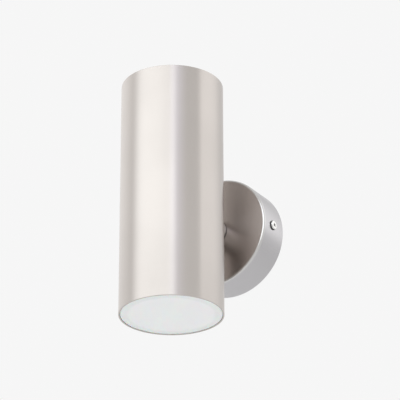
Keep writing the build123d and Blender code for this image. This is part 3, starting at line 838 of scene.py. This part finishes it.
@dataclass(frozen=True)
class Frosted(Grained):
    """The opal lens: white in depth, with a faint darker band of painted shade where the rim behind it shows
    through.
    """

    grain: float = 2200.0
    bump: float = 0.12
    patch_roughness: float = 0.04
    plain: tuple[tuple[str, float], ...] = (
        ("IOR", 1.49),
        ("Subsurface Weight", 0.35),
        ("Subsurface Scale", 2 * MILLIMETRE),
    )
    centre: tuple[float, float, float] = (0.0, 0.0, 0.0)
    # Where the band of painted shade from the rim behind the lens begins, and its colour.
    rim_shade_start: float = 0.028
    rim_shade_colour: Colour = (0.86, 0.885, 0.87)
    softness: float = 0.0012

    def tone(self, nodes: Nodes, point: Socket, patches: Socket) -> Socket:
        """The lens's white, darker in the band of painted shade."""
        flat = nodes.vector("MULTIPLY", nodes.vector("SUBTRACT", point, self.centre), (1.0, 1.0, 0.0))
        low, high = self.rim_shade_start - self.softness, self.rim_shade_start + self.softness
        # The darker band is painted shade of the rim behind the lens.
        return nodes.mix(nodes.ramp(nodes.vector("LENGTH", flat), low, high), self.colour, self.rim_shade_colour)


@dataclass(frozen=True)
class Striped(Grained):
    """Wire insulation with a stripe that follows a wire lying in the plane x = 0."""

    grain: float = 1600.0
    bump: float = 0.08
    patch_roughness: float = 0.06
    stripe: Colour = (0.75, 0.62, 0.05)
    half_width: float = 0.45 * MILLIMETRE
    softness: float = 0.125

    def tone(self, nodes: Nodes, point: Socket, patches: Socket) -> Socket:
        """The insulation's colour and its stripe's."""
        across = nodes.math("ABSOLUTE", nodes.add("SeparateXYZ", {0: point})[0])
        low, high = (self.half_width * (1 + side * self.softness) for side in (-1, 1))
        return nodes.mix(nodes.ramp(across, low, high, 1.0, 0.0), self.colour, self.stripe)


# ---- Sub-assemblies ----
METAL: Colour = (0.555, 0.516, 0.487)
# The cup side's colour, cooler than the tube's: a painted reflection tint.
SIDE_METAL_COOL_REFLECTION: Colour = (0.495, 0.483, 0.492)
METAL_ROUGHNESS = 0.31
CUP_ROUGHNESS = 0.2


@dataclass
class Assembly:
    """What every sub-assembly has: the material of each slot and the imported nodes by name."""

    materials: dict[str, Material]
    nodes: dict[str, Piece]

    def dress(
        self, piece: Piece, slot: str, node: str, body: Body = Body.LIGHT, finish: Finish | None = None
    ) -> None:
        """Finishes a new piece: its material, its body, the record's slot and the node that it stands for.

        Args:
            piece: the modelled piece.
            slot: the record's material slot.
            node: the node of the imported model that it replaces.
            body: the body that it rides on.
            finish: its own finish, where it has one besides the slot's.
        """
        piece.data.materials.clear()
        piece.data.materials.append(finish.material() if finish else self.materials[slot])
        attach(piece, body.value)
        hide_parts(node)
        LOG.info("%s: %d faces", piece.name, len(piece.data.polygons))


@dataclass
class Tube(Assembly):
    """The upright brushed tube."""

    wall: float = 1.0 * MILLIMETRE
    rim_rounding: float = 0.25 * MILLIMETRE
    hole_gap: float = 0.2 * MILLIMETRE
    steps: int = 256

    def build(self) -> None:
        """Models the tube with its rounded rims and the hole for the pipe."""
        place, pipe = Place.of("tube_body"), Place.of("threaded_pipe")
        outer, rim = place.size.x / 2, self.rim_rounding
        inner = outer - self.wall
        low, high, near, far = place.low.z, place.high.z, pipe.centre.z - outer / 3, pipe.centre.z + outer / 3
        right = (inner, low, rim), (outer, low, rim), (outer, near), (outer, far)
        corners = Corner.row(*right, (outer, high, rim), (inner, high, rim), (inner, far), (inner, near))
        shell = Bench.turned("tube_shell", Axis.Z, place.centre, corners, self.steps)
        back = Vector((pipe.centre.x, place.high.y, pipe.centre.z))
        Bench.combine(shell, Bench.rod(Axis.Y, back, pipe.size.x / 2 + self.hole_gap, self.wall * 6))
        Bench.settle(shell, "tube_shell")
        centre = (place.centre.x, place.centre.y, 0.0)
        finish = BrushedMetal("brushed tube", METAL, METAL_ROUGHNESS, Axis.Z, centre)
        self.dress(shell, "brushed_metal", "tube_body", finish=finish)


@dataclass
class WallCup(Assembly):
    """The shallow round cup on the wall."""

    wall: float = 1.2 * MILLIMETRE
    edge_rounding: float = 1.6 * MILLIMETRE
    inner_rounding: float = 0.4 * MILLIMETRE
    rim_rounding: float = 0.2 * MILLIMETRE
    hole_gap: float = 0.2 * MILLIMETRE
    screw_hole: float = 1.7 * MILLIMETRE
    steps: int = 256

    def build(self) -> None:
        """Models the cup, its pipe hole and its two screw holes, and brushes its face in rings."""
        place = Place.of("backplate_cup")
        outer, face, back = place.size.x / 2, place.low.y, place.high.y
        inner, pipe = outer - self.wall, Place.of("threaded_pipe").size.x / 2 + self.hole_gap
        floor = face + self.wall
        outside = (pipe, face), (outer, face, self.edge_rounding), (outer, back, self.rim_rounding)
        inside = (inner, back, self.rim_rounding), (inner, floor, self.inner_rounding), (pipe, floor)
        corners = Corner.row(*outside, *inside)
        cup = Bench.turned("cup_shell", Axis.Y, place.centre, corners, self.steps, 8)
        for side in ("left", "right"):
            washer = Place.of(f"cover_screw_washer_{side}").centre
            hole = Vector((math.copysign(outer, washer.x), washer.y, washer.z))
            Bench.combine(cup, Bench.rod(Axis.X, hole, self.screw_hole, self.wall * 8))
        Bench.settle(cup, "cup_shell")
        edge, half = outer + face, self.edge_rounding
        zones = {"face_end": edge - half, "side_start": edge + half}
        # The cup's colours carry painted shade on the face and a painted cool reflection tint on the side.
        finish = CupMetal("brushed cup", SIDE_METAL_COOL_REFLECTION, CUP_ROUGHNESS, Axis.Y, **zones)
        self.dress(cup, "brushed_metal", "backplate_cup", finish=finish)


@dataclass
class Stem(Assembly):
    """The plain sleeve between the cup and the tube, and the thin seal behind it."""

    bore: float = 5.2 * MILLIMETRE
    sleeve_rounding: float = 0.2 * MILLIMETRE
    seal_rounding: float = 0.12 * MILLIMETRE
    steps: int = 128

    def build(self) -> None:
        """Models the sleeve, cut to the tube's round back, and the seal."""
        tube, sleeve, seal = (Place.of(node) for node in ("tube_body", "stem_sleeve", "stem_seal"))
        radius = sleeve.size.x / 2
        near, far, bore = sleeve.high.y, tube.centre.y, self.bore
        corners = Corner.row((bore, near), (radius, near, self.sleeve_rounding), (radius, far), (bore, far))
        piece = Bench.turned("stem", Axis.Y, sleeve.centre, corners, self.steps)
        Bench.combine(piece, Bench.rod(Axis.Z, tube.centre, tube.size.x / 2, tube.size.z, 512))
        Bench.settle(piece, "stem")
        finish = BrushedMetal("brushed stem", METAL, METAL_ROUGHNESS, Axis.Y)
        self.dress(piece, "brushed_metal", "stem_sleeve", finish=finish)
        corners = ring(self.bore, radius, (seal.low.y, seal.high.y), self.seal_rounding)
        disc = Bench.turned("seal_ring", Axis.Y, seal.centre, corners, self.steps)
        self.dress(disc, "black_rubber", "stem_seal")


@dataclass
class Lenses(Assembly):
    """The frosted lens in each end of the tube."""

    edge_rounding: float = 0.3 * MILLIMETRE
    steps: int = 192

    def build(self) -> None:
        """Models both lenses."""
        for node in ("lower_lens", "upper_lens"):
            place = Place.of(node)
            corners = ring(0.0, place.size.x / 2, (place.low.z, place.high.z), self.edge_rounding)
            disc = Bench.turned(f"{node}_disc", Axis.Z, place.centre, corners, self.steps)
            self.dress(disc, "opal_lens", node)


@dataclass(frozen=True)
class ScrewForm:
    """A metric screw with a round-edged head and a cross recess: its seat at the origin, its head above."""

    head_radius: float
    head_height: float
    thread_radius: float
    length: float = 0.0
    pitch: float = 0.5 * MILLIMETRE
    edge_share: float = 0.5
    seat_share: float = 0.08
    core_share: float = 0.3
    tip_share: float = 0.25
    recess_share: float = 0.47
    recess_width: float = 0.9 * MILLIMETRE
    recess_depth: float = 1.7 * MILLIMETRE
    recess_taper: float = 0.45
    slack: float = 0.1 * MILLIMETRE

    def recess(self) -> Piece:
        """The tapered cross that is cut into the head."""
        reach, half = self.head_radius * self.recess_share, self.recess_width / 2
        low, high = self.head_height - self.recess_depth, self.head_height + self.slack
        arms = [
            Bench.block(Vector((-x, -y, low)), Vector((x, y, high)), self.recess_taper)
            for x, y in ((reach, half), (half, reach))
        ]
        Bench.combine(arms[0], arms[1], Cut.WELD)
        return arms[0]

    def build(self, name: str) -> Piece:
        """Models the screw.

        Args:
            name: the piece's name.

        Returns:
            The screw, along Z.
        """
        origin, end, top = Vector(), -self.length, self.head_height
        tip, wide = self.thread_radius * self.tip_share, self.thread_radius + self.slack
        shank = Bench.threaded(self.thread_radius, self.pitch, end, top * self.core_share)
        drawn_in = (0.0, end), (self.thread_radius - tip, end), (wide, end + tip + self.slack)
        within = Corner.row(*drawn_in, (wide, top), (0.0, top))
        Bench.combine(shank, Bench.turned("limit", Axis.Z, origin, within, 32), Cut.WITHIN)
        radius, seat, edge = self.head_radius, top * self.seat_share, top * self.edge_share
        corners = Corner.row((0.0, 0.0), (radius, 0.0, seat), (radius, top, edge), (0.0, top))
        head = Bench.turned("head", Axis.Z, origin, corners, 64, 6)
        Bench.combine(head, shank, Cut.WELD)
        Bench.combine(head, self.recess())
        return Bench.settle(head, name)


@dataclass
class CoverScrews(Assembly):
    """The two screws in the cup's side, each with its thin black washer."""

    form: ScrewForm = ScrewForm(3.0 * MILLIMETRE, 1.1 * MILLIMETRE, 1.5 * MILLIMETRE, 8.0 * MILLIMETRE)
    washer_bore: float = 1.55 * MILLIMETRE
    washer_rounding: float = 0.1 * MILLIMETRE
    roll: float = math.radians(28)

    def build(self) -> None:
        """Models one screw, and puts a copy on each side on its washer."""
        pattern = self.form.build("cover_screw_pattern")
        for side, sign in (("right", 1), ("left", -1)):
            node = f"cover_screw_washer_{side}"
            place = Place.of(node)
            ends = tuple(sorted((place.low.x, place.high.x), key=abs))
            rounding = self.washer_rounding
            corners = ring(self.washer_bore, place.size.y / 2, ends, rounding, rounding)
            washer = Bench.turned(f"{side}_washer_ring", Axis.X, place.centre, corners, 64)
            self.dress(washer, "black_washer", node, Body(f"{side}_washer"))
            screw = Bench.copy(pattern, f"{side}_cover_screw")
            seat = Vector((ends[1], place.centre.y, place.centre.z))
            Bench.aim(screw, Vector((sign, 0, 0)), seat, self.roll * sign)
            self.dress(screw, "screw_steel", f"cover_screw_{side}", Body(f"{side}_screw"))
        bpy.data.objects.remove(pattern)


@dataclass
class PipeClamp(Assembly):
    """The hollow threaded pipe and the nut on each end of it."""

    pitch: float = 1.0 * MILLIMETRE
    bore: float = 3.8 * MILLIMETRE
    end_chamfer: float = 0.5 * MILLIMETRE
    nut_bore: float = 5.03 * MILLIMETRE
    nut_chamfer: float = 0.5 * MILLIMETRE
    nut_slope: float = 0.6

    def pipe(self) -> None:
        """Models the pipe's thread and bore."""
        place, origin = Place.of("threaded_pipe"), Vector()
        radius, half = place.size.x / 2, place.size.y / 2
        rod = Bench.threaded(radius, self.pitch, -half, half, 48)
        rise = self.end_chamfer + self.pitch
        within = spindle(radius - self.end_chamfer, radius + self.pitch, (-half, half), rise)
        Bench.combine(rod, Bench.turned("limit", Axis.Z, origin, within, 48), Cut.WITHIN)
        Bench.combine(rod, Bench.rod(Axis.Z, origin, self.bore, half * 3, 64))
        Bench.aim(rod, Vector((0, 1, 0)), place.centre)
        self.dress(Bench.settle(rod, "pipe_thread"), "brass", "threaded_pipe")

    def nut(self, node: str) -> None:
        """Models one hexagon nut with rounded-off corners.

        Args:
            node: the nut's node.
        """
        place, chamfer, twelfth = Place.of(node), self.nut_chamfer, FULL_TURN / 12
        corner, flat, thickness = place.size.x / 2, place.size.z / 2, place.size.y
        nut = Bench.rod(Axis.Y, place.centre, flat / math.cos(twelfth), thickness, 6)
        bpy.ops.object.transform_apply()
        Bench.pick(nut)
        bpy.ops.transform.rotate(value=twelfth, orient_axis="Y", center_override=place.centre)
        ends = place.low.y, place.high.y
        within = spindle(corner - chamfer, corner + chamfer / 10, ends, chamfer * self.nut_slope)
        Bench.combine(nut, Bench.turned("limit", Axis.Y, place.centre, within), Cut.WITHIN)
        Bench.combine(nut, Bench.rod(Axis.Y, place.centre, self.nut_bore, thickness * 2, 64))
        self.dress(Bench.settle(nut, f"{node}_hexagon"), "zinc_steel", node)

    def build(self) -> None:
        """Models the pipe and both nuts."""
        self.pipe()
        for node in ("cup_nut", "tube_nut"):
            self.nut(node)


@dataclass
class InnerScrews(Assembly):
    """The screws inside: the earth screws, the board and driver screws and the terminal block's."""

    small: ScrewForm = ScrewForm(2.75 * MILLIMETRE, 1.9 * MILLIMETRE, 1.5 * MILLIMETRE)
    earth: ScrewForm = ScrewForm(
        3.8 * MILLIMETRE,
        2.6 * MILLIMETRE,
        2.0 * MILLIMETRE,
        pitch=0.7 * MILLIMETRE,
        recess_width=1.1 * MILLIMETRE,
        recess_depth=1.8 * MILLIMETRE,
    )

    def group(self, node: str, towards: Axis, sign: int, spread: int | None) -> None:
        """Models the screws of one node: one in its middle or two in a row.

        Args:
            node: the node that they stand for.
            towards: the axis that they lie along.
            sign: 1 or -1, where their heads point along it.
            spread: the number of the axis along which two lie apart.
        """
        place, along = Place.of(node), "XYZ".index(towards.value)
        form, slot = (self.earth, "brass") if "earth" in node else (self.small, "zinc_steel")
        seat = place.centre
        seat[along] = (place.high if sign > 0 else place.low)[along] - sign * form.head_height
        seats = [seat]
        if spread is not None:
            seats = [seat.copy(), seat.copy()]
            seats[0][spread] = place.low[spread] + form.head_radius
            seats[1][spread] = place.high[spread] - form.head_radius
        pattern = replace(form, length=place.size[along] - form.head_height).build(f"{node}_pattern")
        heading = towards.vector * sign
        Bench.pick(*[Bench.aim(Bench.copy(pattern, f"{node}_copy"), heading, spot) for spot in seats])
        bpy.ops.object.join()
        bpy.data.objects.remove(pattern)
        self.dress(Bench.settle(bpy.context.object, f"{node}_threaded"), slot, node)

    def build(self) -> None:
        """Models every inner screw from its node's box."""
        groups = (
            ("lower_led_board_screws", Axis.Z, -1, 1),
            ("upper_led_board_screws", Axis.Z, 1, 1),
            ("driver_screws", Axis.Y, 1, 2),
            ("terminal_block_screw", Axis.Y, -1, None),
            ("bracket_earth_screw", Axis.Y, -1, None),
            ("chassis_earth_screw", Axis.Y, -1, None),
        )
        for group in groups:
            self.group(*group)


@dataclass
class TerminalBlock(Assembly):
    """The two-pole block: a nylon body with a raised collar round each clamp screw."""

    clamp_radius: float = 1.3 * MILLIMETRE
    collar_radius: float = 2.6 * MILLIMETRE
    collar_height: float = 3.2 * MILLIMETRE
    screw_hole: float = 1.4 * MILLIMETRE
    wire_hole: float = 1.1 * MILLIMETRE
    fixing_head: float = 2.85 * MILLIMETRE
    fixing_hole: float = 1.7 * MILLIMETRE
    fixing_floor: float = 1.9 * MILLIMETRE
    rounding: float = 0.9 * MILLIMETRE
    slack: float = 1.0 * MILLIMETRE

    def build(self) -> None:
        """Models the block."""
        place, clamps = Place.of("terminal_block"), Place.of("terminal_clamp_screws")
        screw = Place.of("terminal_block_screw").centre
        low, high, deep = place.low, place.high, place.size.y
        wires = (low.y + high.y) / 2
        depth = wires - low.y
        rows = (clamps.low.z + self.clamp_radius, clamps.high.z - self.clamp_radius)
        body = Bench.block(Vector((low.x, low.y + self.collar_height, low.z)), high)
        Bench.modify(body, "BEVEL", width=self.rounding, segments=4)
        for x in (low.x + place.size.x / 4, high.x - place.size.x / 4):
            spots = [Vector((x, (low.y + wires) / 2, z)) for z in rows]
            for spot in spots:
                Bench.combine(body, Bench.rod(Axis.Y, spot, self.collar_radius, depth, 40), Cut.WELD)
            Bench.combine(body, Bench.rod(Axis.Z, Vector((x, wires, 0)), self.wire_hole, 1, 32))
            for spot in spots:
                spot.y -= self.slack
                hole = Bench.rod(Axis.Y, spot, self.screw_hole, depth + 2 * self.slack, 32)
                Bench.combine(body, hole)
        Bench.combine(body, Bench.rod(Axis.Y, screw, self.fixing_hole, 4 * deep, 32))
        well = Vector((screw.x, high.y - self.fixing_floor - deep / 2, screw.z))
        Bench.combine(body, Bench.rod(Axis.Y, well, self.fixing_head, deep, 40))
        self.dress(Bench.settle(body, "terminal_body"), "terminal_nylon", "terminal_block")


@dataclass
class SheetMetal(Assembly):
    """The stamped and bent sheet pieces, whose edges are deburred."""

    rounding: float = 0.2 * MILLIMETRE
    pieces: tuple[str, ...] = ("wall_bracket", "chassis_bracket", "bracket_earth_tag", "chassis_earth_tag")

    def build(self) -> None:
        """Models each piece from its node."""
        for name in self.pieces:
            piece = Bench.eased(self.nodes[name], f"{name}_deburred", self.rounding)
            self.dress(piece, "zinc_steel", name)


@dataclass
class CableBush(Assembly):
    """The rubber bush that lines the cable hole: a rounded flange on a short neck."""

    bore: float = 4.0 * MILLIMETRE
    neck: float = 6.5 * MILLIMETRE
    neck_length: float = 2.0 * MILLIMETRE
    rounding: float = 0.7 * MILLIMETRE

    def build(self) -> None:
        """Models the bush."""
        place = Place.of("cable_bush")
        flange, rounding = place.size.x / 2, self.rounding
        face, seat, back = place.low.y, place.high.y - self.neck_length, place.high.y
        plate = (self.bore, face, rounding), (flange, face, rounding), (flange, seat, rounding / 2)
        tail = (self.neck, seat), (self.neck, back, rounding / 3), (self.bore, back, rounding)
        corners = Corner.row(*plate, *tail)
        collar = Bench.turned("bush_ring", Axis.Y, place.centre, corners)
        self.dress(collar, "black_rubber", "cable_bush")


# ---- Studio ----
def area_lamp(name: str, middle: Vector, turn: Euler, size: tuple[float, float], radiance: float) -> Piece:
    """Hangs a rectangular lamp that the camera doesn't see.

    Args:
        name: the lamp's name.
        middle: its centre.
        turn: its rotation.
        size: its width and height.
        radiance: how bright each point of it is.

    Returns:
        The lamp.
    """
    Bench.clear()
    bpy.ops.object.light_add(type="AREA", location=middle)
    lamp = bpy.context.object
    lamp.name, lamp.rotation_euler = name, turn
    lamp.data.shape, (lamp.data.size, lamp.data.size_y) = "RECTANGLE", size
    lamp.data.energy = radiance * math.pi * size[0] * size[1]
    lamp.visible_camera = False
    return lamp


@dataclass(frozen=True)
class Softbox:
    """A large upright lamp round the light, whose radiance fades towards its edges.

    Bearings and elevations are in degrees, as seen from the light; a bearing of 0 is straight in front of it.
    The fades are shares of its width and of its height.
    """

    name: str
    bearing: float
    span: float
    lowest: float
    highest: float
    radiance: float
    fades: tuple[float, float]
    upright_fades: tuple[float, float] = (0.3, 0.1)
    colour: Colour = (1.0, 1.0, 1.0)
    distance: float = 2.4
    only_in_gloss: bool = True

    def build(self, target: Vector) -> None:
        """Stands the lamp so that it faces the target.

        Args:
            target: the point that it faces.
        """
        turn = math.radians(self.bearing)
        towards = Vector((math.sin(turn), -math.cos(turn), 0))
        width = 2 * self.distance * math.tan(math.radians(self.span) / 2)
        bottom, top = (self.distance * math.tan(math.radians(rise)) for rise in (self.lowest, self.highest))
        middle = target + towards * self.distance + Vector((0, 0, (bottom + top) / 2))
        facing = towards.to_track_quat("Z", "Y").to_euler()
        lamp = area_lamp(self.name, middle, facing, (width, top - bottom), self.radiance)
        lamp.data.color = self.colour
        lamp.visible_diffuse = not self.only_in_gloss
        lamp.data.use_nodes = True
        nodes = Nodes(lamp.data.node_tree)
        spot = nodes.add("SeparateXYZ", {0: nodes.add("NewGeometry")["Parametric"]})
        across = self.faded(nodes, spot[0], *self.fades)
        upwards = self.faded(nodes, spot[1], *self.upright_fades)
        strength = nodes.math("MULTIPLY", across, upwards)
        nodes.add("OutputLight", {0: nodes.add("Emission", {"Strength": strength})[0]})

    @staticmethod
    def faded(nodes: Nodes, share: Socket, start: float, end: float) -> Socket:
        """A strength that rises over the first share of the lamp's side and falls over the last."""
        falling = nodes.ramp(share, 1.0 - end, 1.0, 1.0, 0.0)
        return nodes.math("MULTIPLY", nodes.ramp(share, 0.0, start), falling)


@dataclass
class Studio:
    """A plain pale room: floor, world, soft lamps and the camera."""

    azimuth: float = 32.467
    elevation: float = -25.389
    roll: float = -0.098
    target: tuple[float, float, float] = (0.0220, -0.0782, -0.0030)
    distance: float = 1.477
    lens: float = 204.8
    sensor: float = 36.0
    clip: tuple[float, float] = (0.05, 50.0)
    floor_size: float = 24.0
    floor_height: float = -1.4
    floor_shade: float = 0.92
    floor_lift: float = 0.28
    background: float = 0.923
    ambient: float = 0.6
    bounce_drop: float = 1.25
    bounce_side: float = 2.4
    bounce: float = 0.3

    def camera(self) -> None:
        """Sets the camera at the photograph's viewing angle."""
        turn, rise = math.radians(self.azimuth), math.radians(self.elevation)
        towards = Vector((math.sin(turn) * math.cos(rise), -math.cos(turn) * math.cos(rise), math.sin(rise)))
        bpy.ops.object.camera_add(location=Vector(self.target) + towards * self.distance)
        camera = bpy.context.object
        camera.name = "camera"
        upright = (-towards).to_track_quat("-Z", "Y").to_matrix()
        camera.rotation_euler = (upright @ Matrix.Rotation(math.radians(self.roll), 3, "Z")).to_euler()
        camera.data.sensor_width, camera.data.lens = self.sensor, self.lens
        camera.data.clip_start, camera.data.clip_end = self.clip
        bpy.context.scene.camera = camera

    @staticmethod
    def seen(nodes: Nodes) -> Socket:
        """One where a surface is seen, also in metal or glass, and zero where it only gives light."""
        path = nodes.add("LightPath")
        direct = nodes.math("MAXIMUM", path["Is Camera Ray"], path["Is Glossy Ray"])
        return nodes.math("MAXIMUM", direct, path["Is Transmission Ray"])

    def floor(self) -> None:
        """Lays the pale floor well under the light."""
        bpy.ops.mesh.primitive_plane_add(size=self.floor_size, location=(0, 0, self.floor_height))
        floor = bpy.context.object
        floor.name = floor.data.name = "floor"
        material = bpy.data.materials.new("floor")
        material.use_nodes = True
        nodes = Nodes(material.node_tree)
        inputs = {
            "Base Color": (self.floor_shade, self.floor_shade, self.floor_shade, 1),
            "Roughness": 0.8,
            "Emission Color": (1, 1, 1, 1),
            "Emission Strength": nodes.math("MULTIPLY", self.seen(nodes), self.floor_lift),
        }
        nodes.add("OutputMaterial", {"Surface": nodes.add("BsdfPrincipled", inputs)[0]})
        floor.data.materials.append(material)

    def world(self) -> None:
        """A plain pale surround that lights softly and shows in metal and glass."""
        world = bpy.data.worlds.new("studio")
        bpy.context.scene.world = world
        world.use_nodes = True
        nodes = Nodes(world.node_tree)
        strength = nodes.ramp(self.seen(nodes), 0.0, 1.0, self.ambient, self.background)
        back = nodes.add("Background", {"Color": (1, 1, 1, 1), "Strength": strength})
        nodes.add("OutputWorld", {0: back[0]})

    def lamps(self) -> None:
        """Hangs the soft lamps, each at a bearing from the camera's own, and a fill from the floor."""
        target, front = Vector(self.target), self.azimuth
        key = {"span": 112, "lowest": -4, "highest": 48, "radiance": 1.42, "fades": (0.34, 0.25)}
        cool = {"span": 46, "lowest": 8, "highest": 50, "radiance": 0.66, "fades": (0.3, 0.65)}
        side = {"span": 74, "lowest": 0, "highest": 55, "radiance": 0.58, "fades": (0.02, 0.5)}
        back = {"span": 96, "lowest": 5, "highest": 50, "radiance": 0.45, "fades": (0.5, 0.5)}
        boxes = (
            Softbox("key_lamp", front - 41, **key, colour=(0.985, 1.04, 1.065), only_in_gloss=False),
            Softbox("cool_lamp", front + 14, **cool, colour=(0.86, 0.9, 1.22)),
            Softbox("side_lamp", front + 103, **side),
            Softbox("back_lamp", front - 138, **back),
        )
        for box in boxes:
            box.build(target)
        under, size = target - Vector((0, 0, self.bounce_drop)), (self.bounce_side, self.bounce_side)
        area_lamp("floor_bounce", under, Euler((math.pi, 0, 0)), size, self.bounce).visible_glossy = False

    def build(self) -> None:
        """Builds the whole studio."""
        Bench.clear()
        self.camera()
        self.floor()
        self.world()
        self.lamps()
        bpy.context.scene.view_settings.view_transform = "Standard"


def moulded(name: str, colour: Colour, roughness: float, subsurface: float = 0.0) -> Grained:
    """The finish of moulded plastic, rubber, nylon or solder mask.

    Args:
        name: the finish's name.
        colour: its colour.
        roughness: its roughness.
        subsurface: how much light goes in and comes out beside.

    Returns:
        The finish.
    """
    plain = (("Subsurface Weight", subsurface), ("Subsurface Scale", MILLIMETRE)) if subsurface else ()
    return Grained(name, colour, roughness, plain=plain)


def finishes() -> dict[str, Finish]:
    """The finish of each material slot of the record."""
    lens, screw = Place.of("lower_lens").centre, Place.of("cover_screw_right")
    seat = Place.of("cover_screw_washer_right").high.x
    ends = {"head_top": screw.high.x, "head_seat": seat, "axis_y": screw.centre.y}
    return {
        "brushed_metal": BrushedMetal("brushed metal", METAL, METAL_ROUGHNESS, Axis.Y),
        "screw_steel": ScrewMetal("screw steel", (0.78, 0.77, 0.75), 0.2, **ends),
        "black_washer": moulded("black washer", (0.02, 0.02, 0.02), 0.55),
        "black_rubber": moulded("black rubber", (0.025, 0.025, 0.025), 0.62),
        "opal_lens": Frosted("frosted lens", (0.93, 0.935, 0.93), 0.42, centre=(lens.x, lens.y, 0.0)),
        "clear_silicone": moulded("silicone", (0.72, 0.74, 0.73), 0.4, 0.4),
        "white_reflector": moulded("white reflector", (0.88, 0.88, 0.87), 0.28),
        "board_white": moulded("white solder mask", (0.82, 0.82, 0.8), 0.35),
        "led_phosphor": moulded("phosphor", (0.85, 0.68, 0.22), 0.4, 0.3),
        "aluminium": PlainMetal("turned aluminium", (0.77, 0.78, 0.79), 0.33),
        "zinc_steel": PlainMetal("zinc plate", (0.62, 0.63, 0.63), 0.34, 0.14, 420.0, 0.16),
        "brass": PlainMetal("brass", (0.76, 0.6, 0.3), 0.28),
        "driver_plastic": moulded("driver case", (0.8, 0.8, 0.78), 0.5),
        "board_green": moulded("green solder mask", (0.04, 0.22, 0.1), 0.3),
        "transformer": moulded("transformer", (0.1, 0.09, 0.08), 0.5),
        "capacitor": moulded("capacitor sleeve", (0.05, 0.06, 0.09), 0.25),
        "terminal_nylon": moulded("nylon", (0.82, 0.81, 0.76), 0.4, 0.3),
        "live_sleeve": moulded("brown insulation", (0.24, 0.1, 0.04), 0.4),
        "neutral_sleeve": moulded("blue insulation", (0.03, 0.14, 0.5), 0.4),
        "earth_sleeve": Striped("green and yellow insulation", (0.1, 0.36, 0.07), 0.4),
        "lead_sleeve": moulded("white insulation", (0.8, 0.8, 0.78), 0.4),
    }


def dress_nodes(frame: dict, materials: dict[str, Material]) -> None:
    """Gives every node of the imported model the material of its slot.

    Args:
        materials: a material for each slot.
    """
    for part in frame["record"]["subparts"]:
        mesh = frame["nodes"][part["node"]].data
        mesh.materials.clear()
        mesh.materials.append(materials[part["material_slot"]])


def main() -> None:
    """Builds the studio and every piece."""
    logging.basicConfig(level=logging.INFO, format="%(name)s: %(message)s")
    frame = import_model()
    Bench.clear()
    Studio().build()
    materials = {slot: finish.material() for slot, finish in finishes().items()}
    dress_nodes(frame, materials)
    outside = (Tube, WallCup, Stem, Lenses, CoverScrews)
    for assembly in (*outside, PipeClamp, InnerScrews, SheetMetal, TerminalBlock, CableBush):
        assembly(materials, frame["nodes"]).build()


if __name__ == "__main__":
    main()
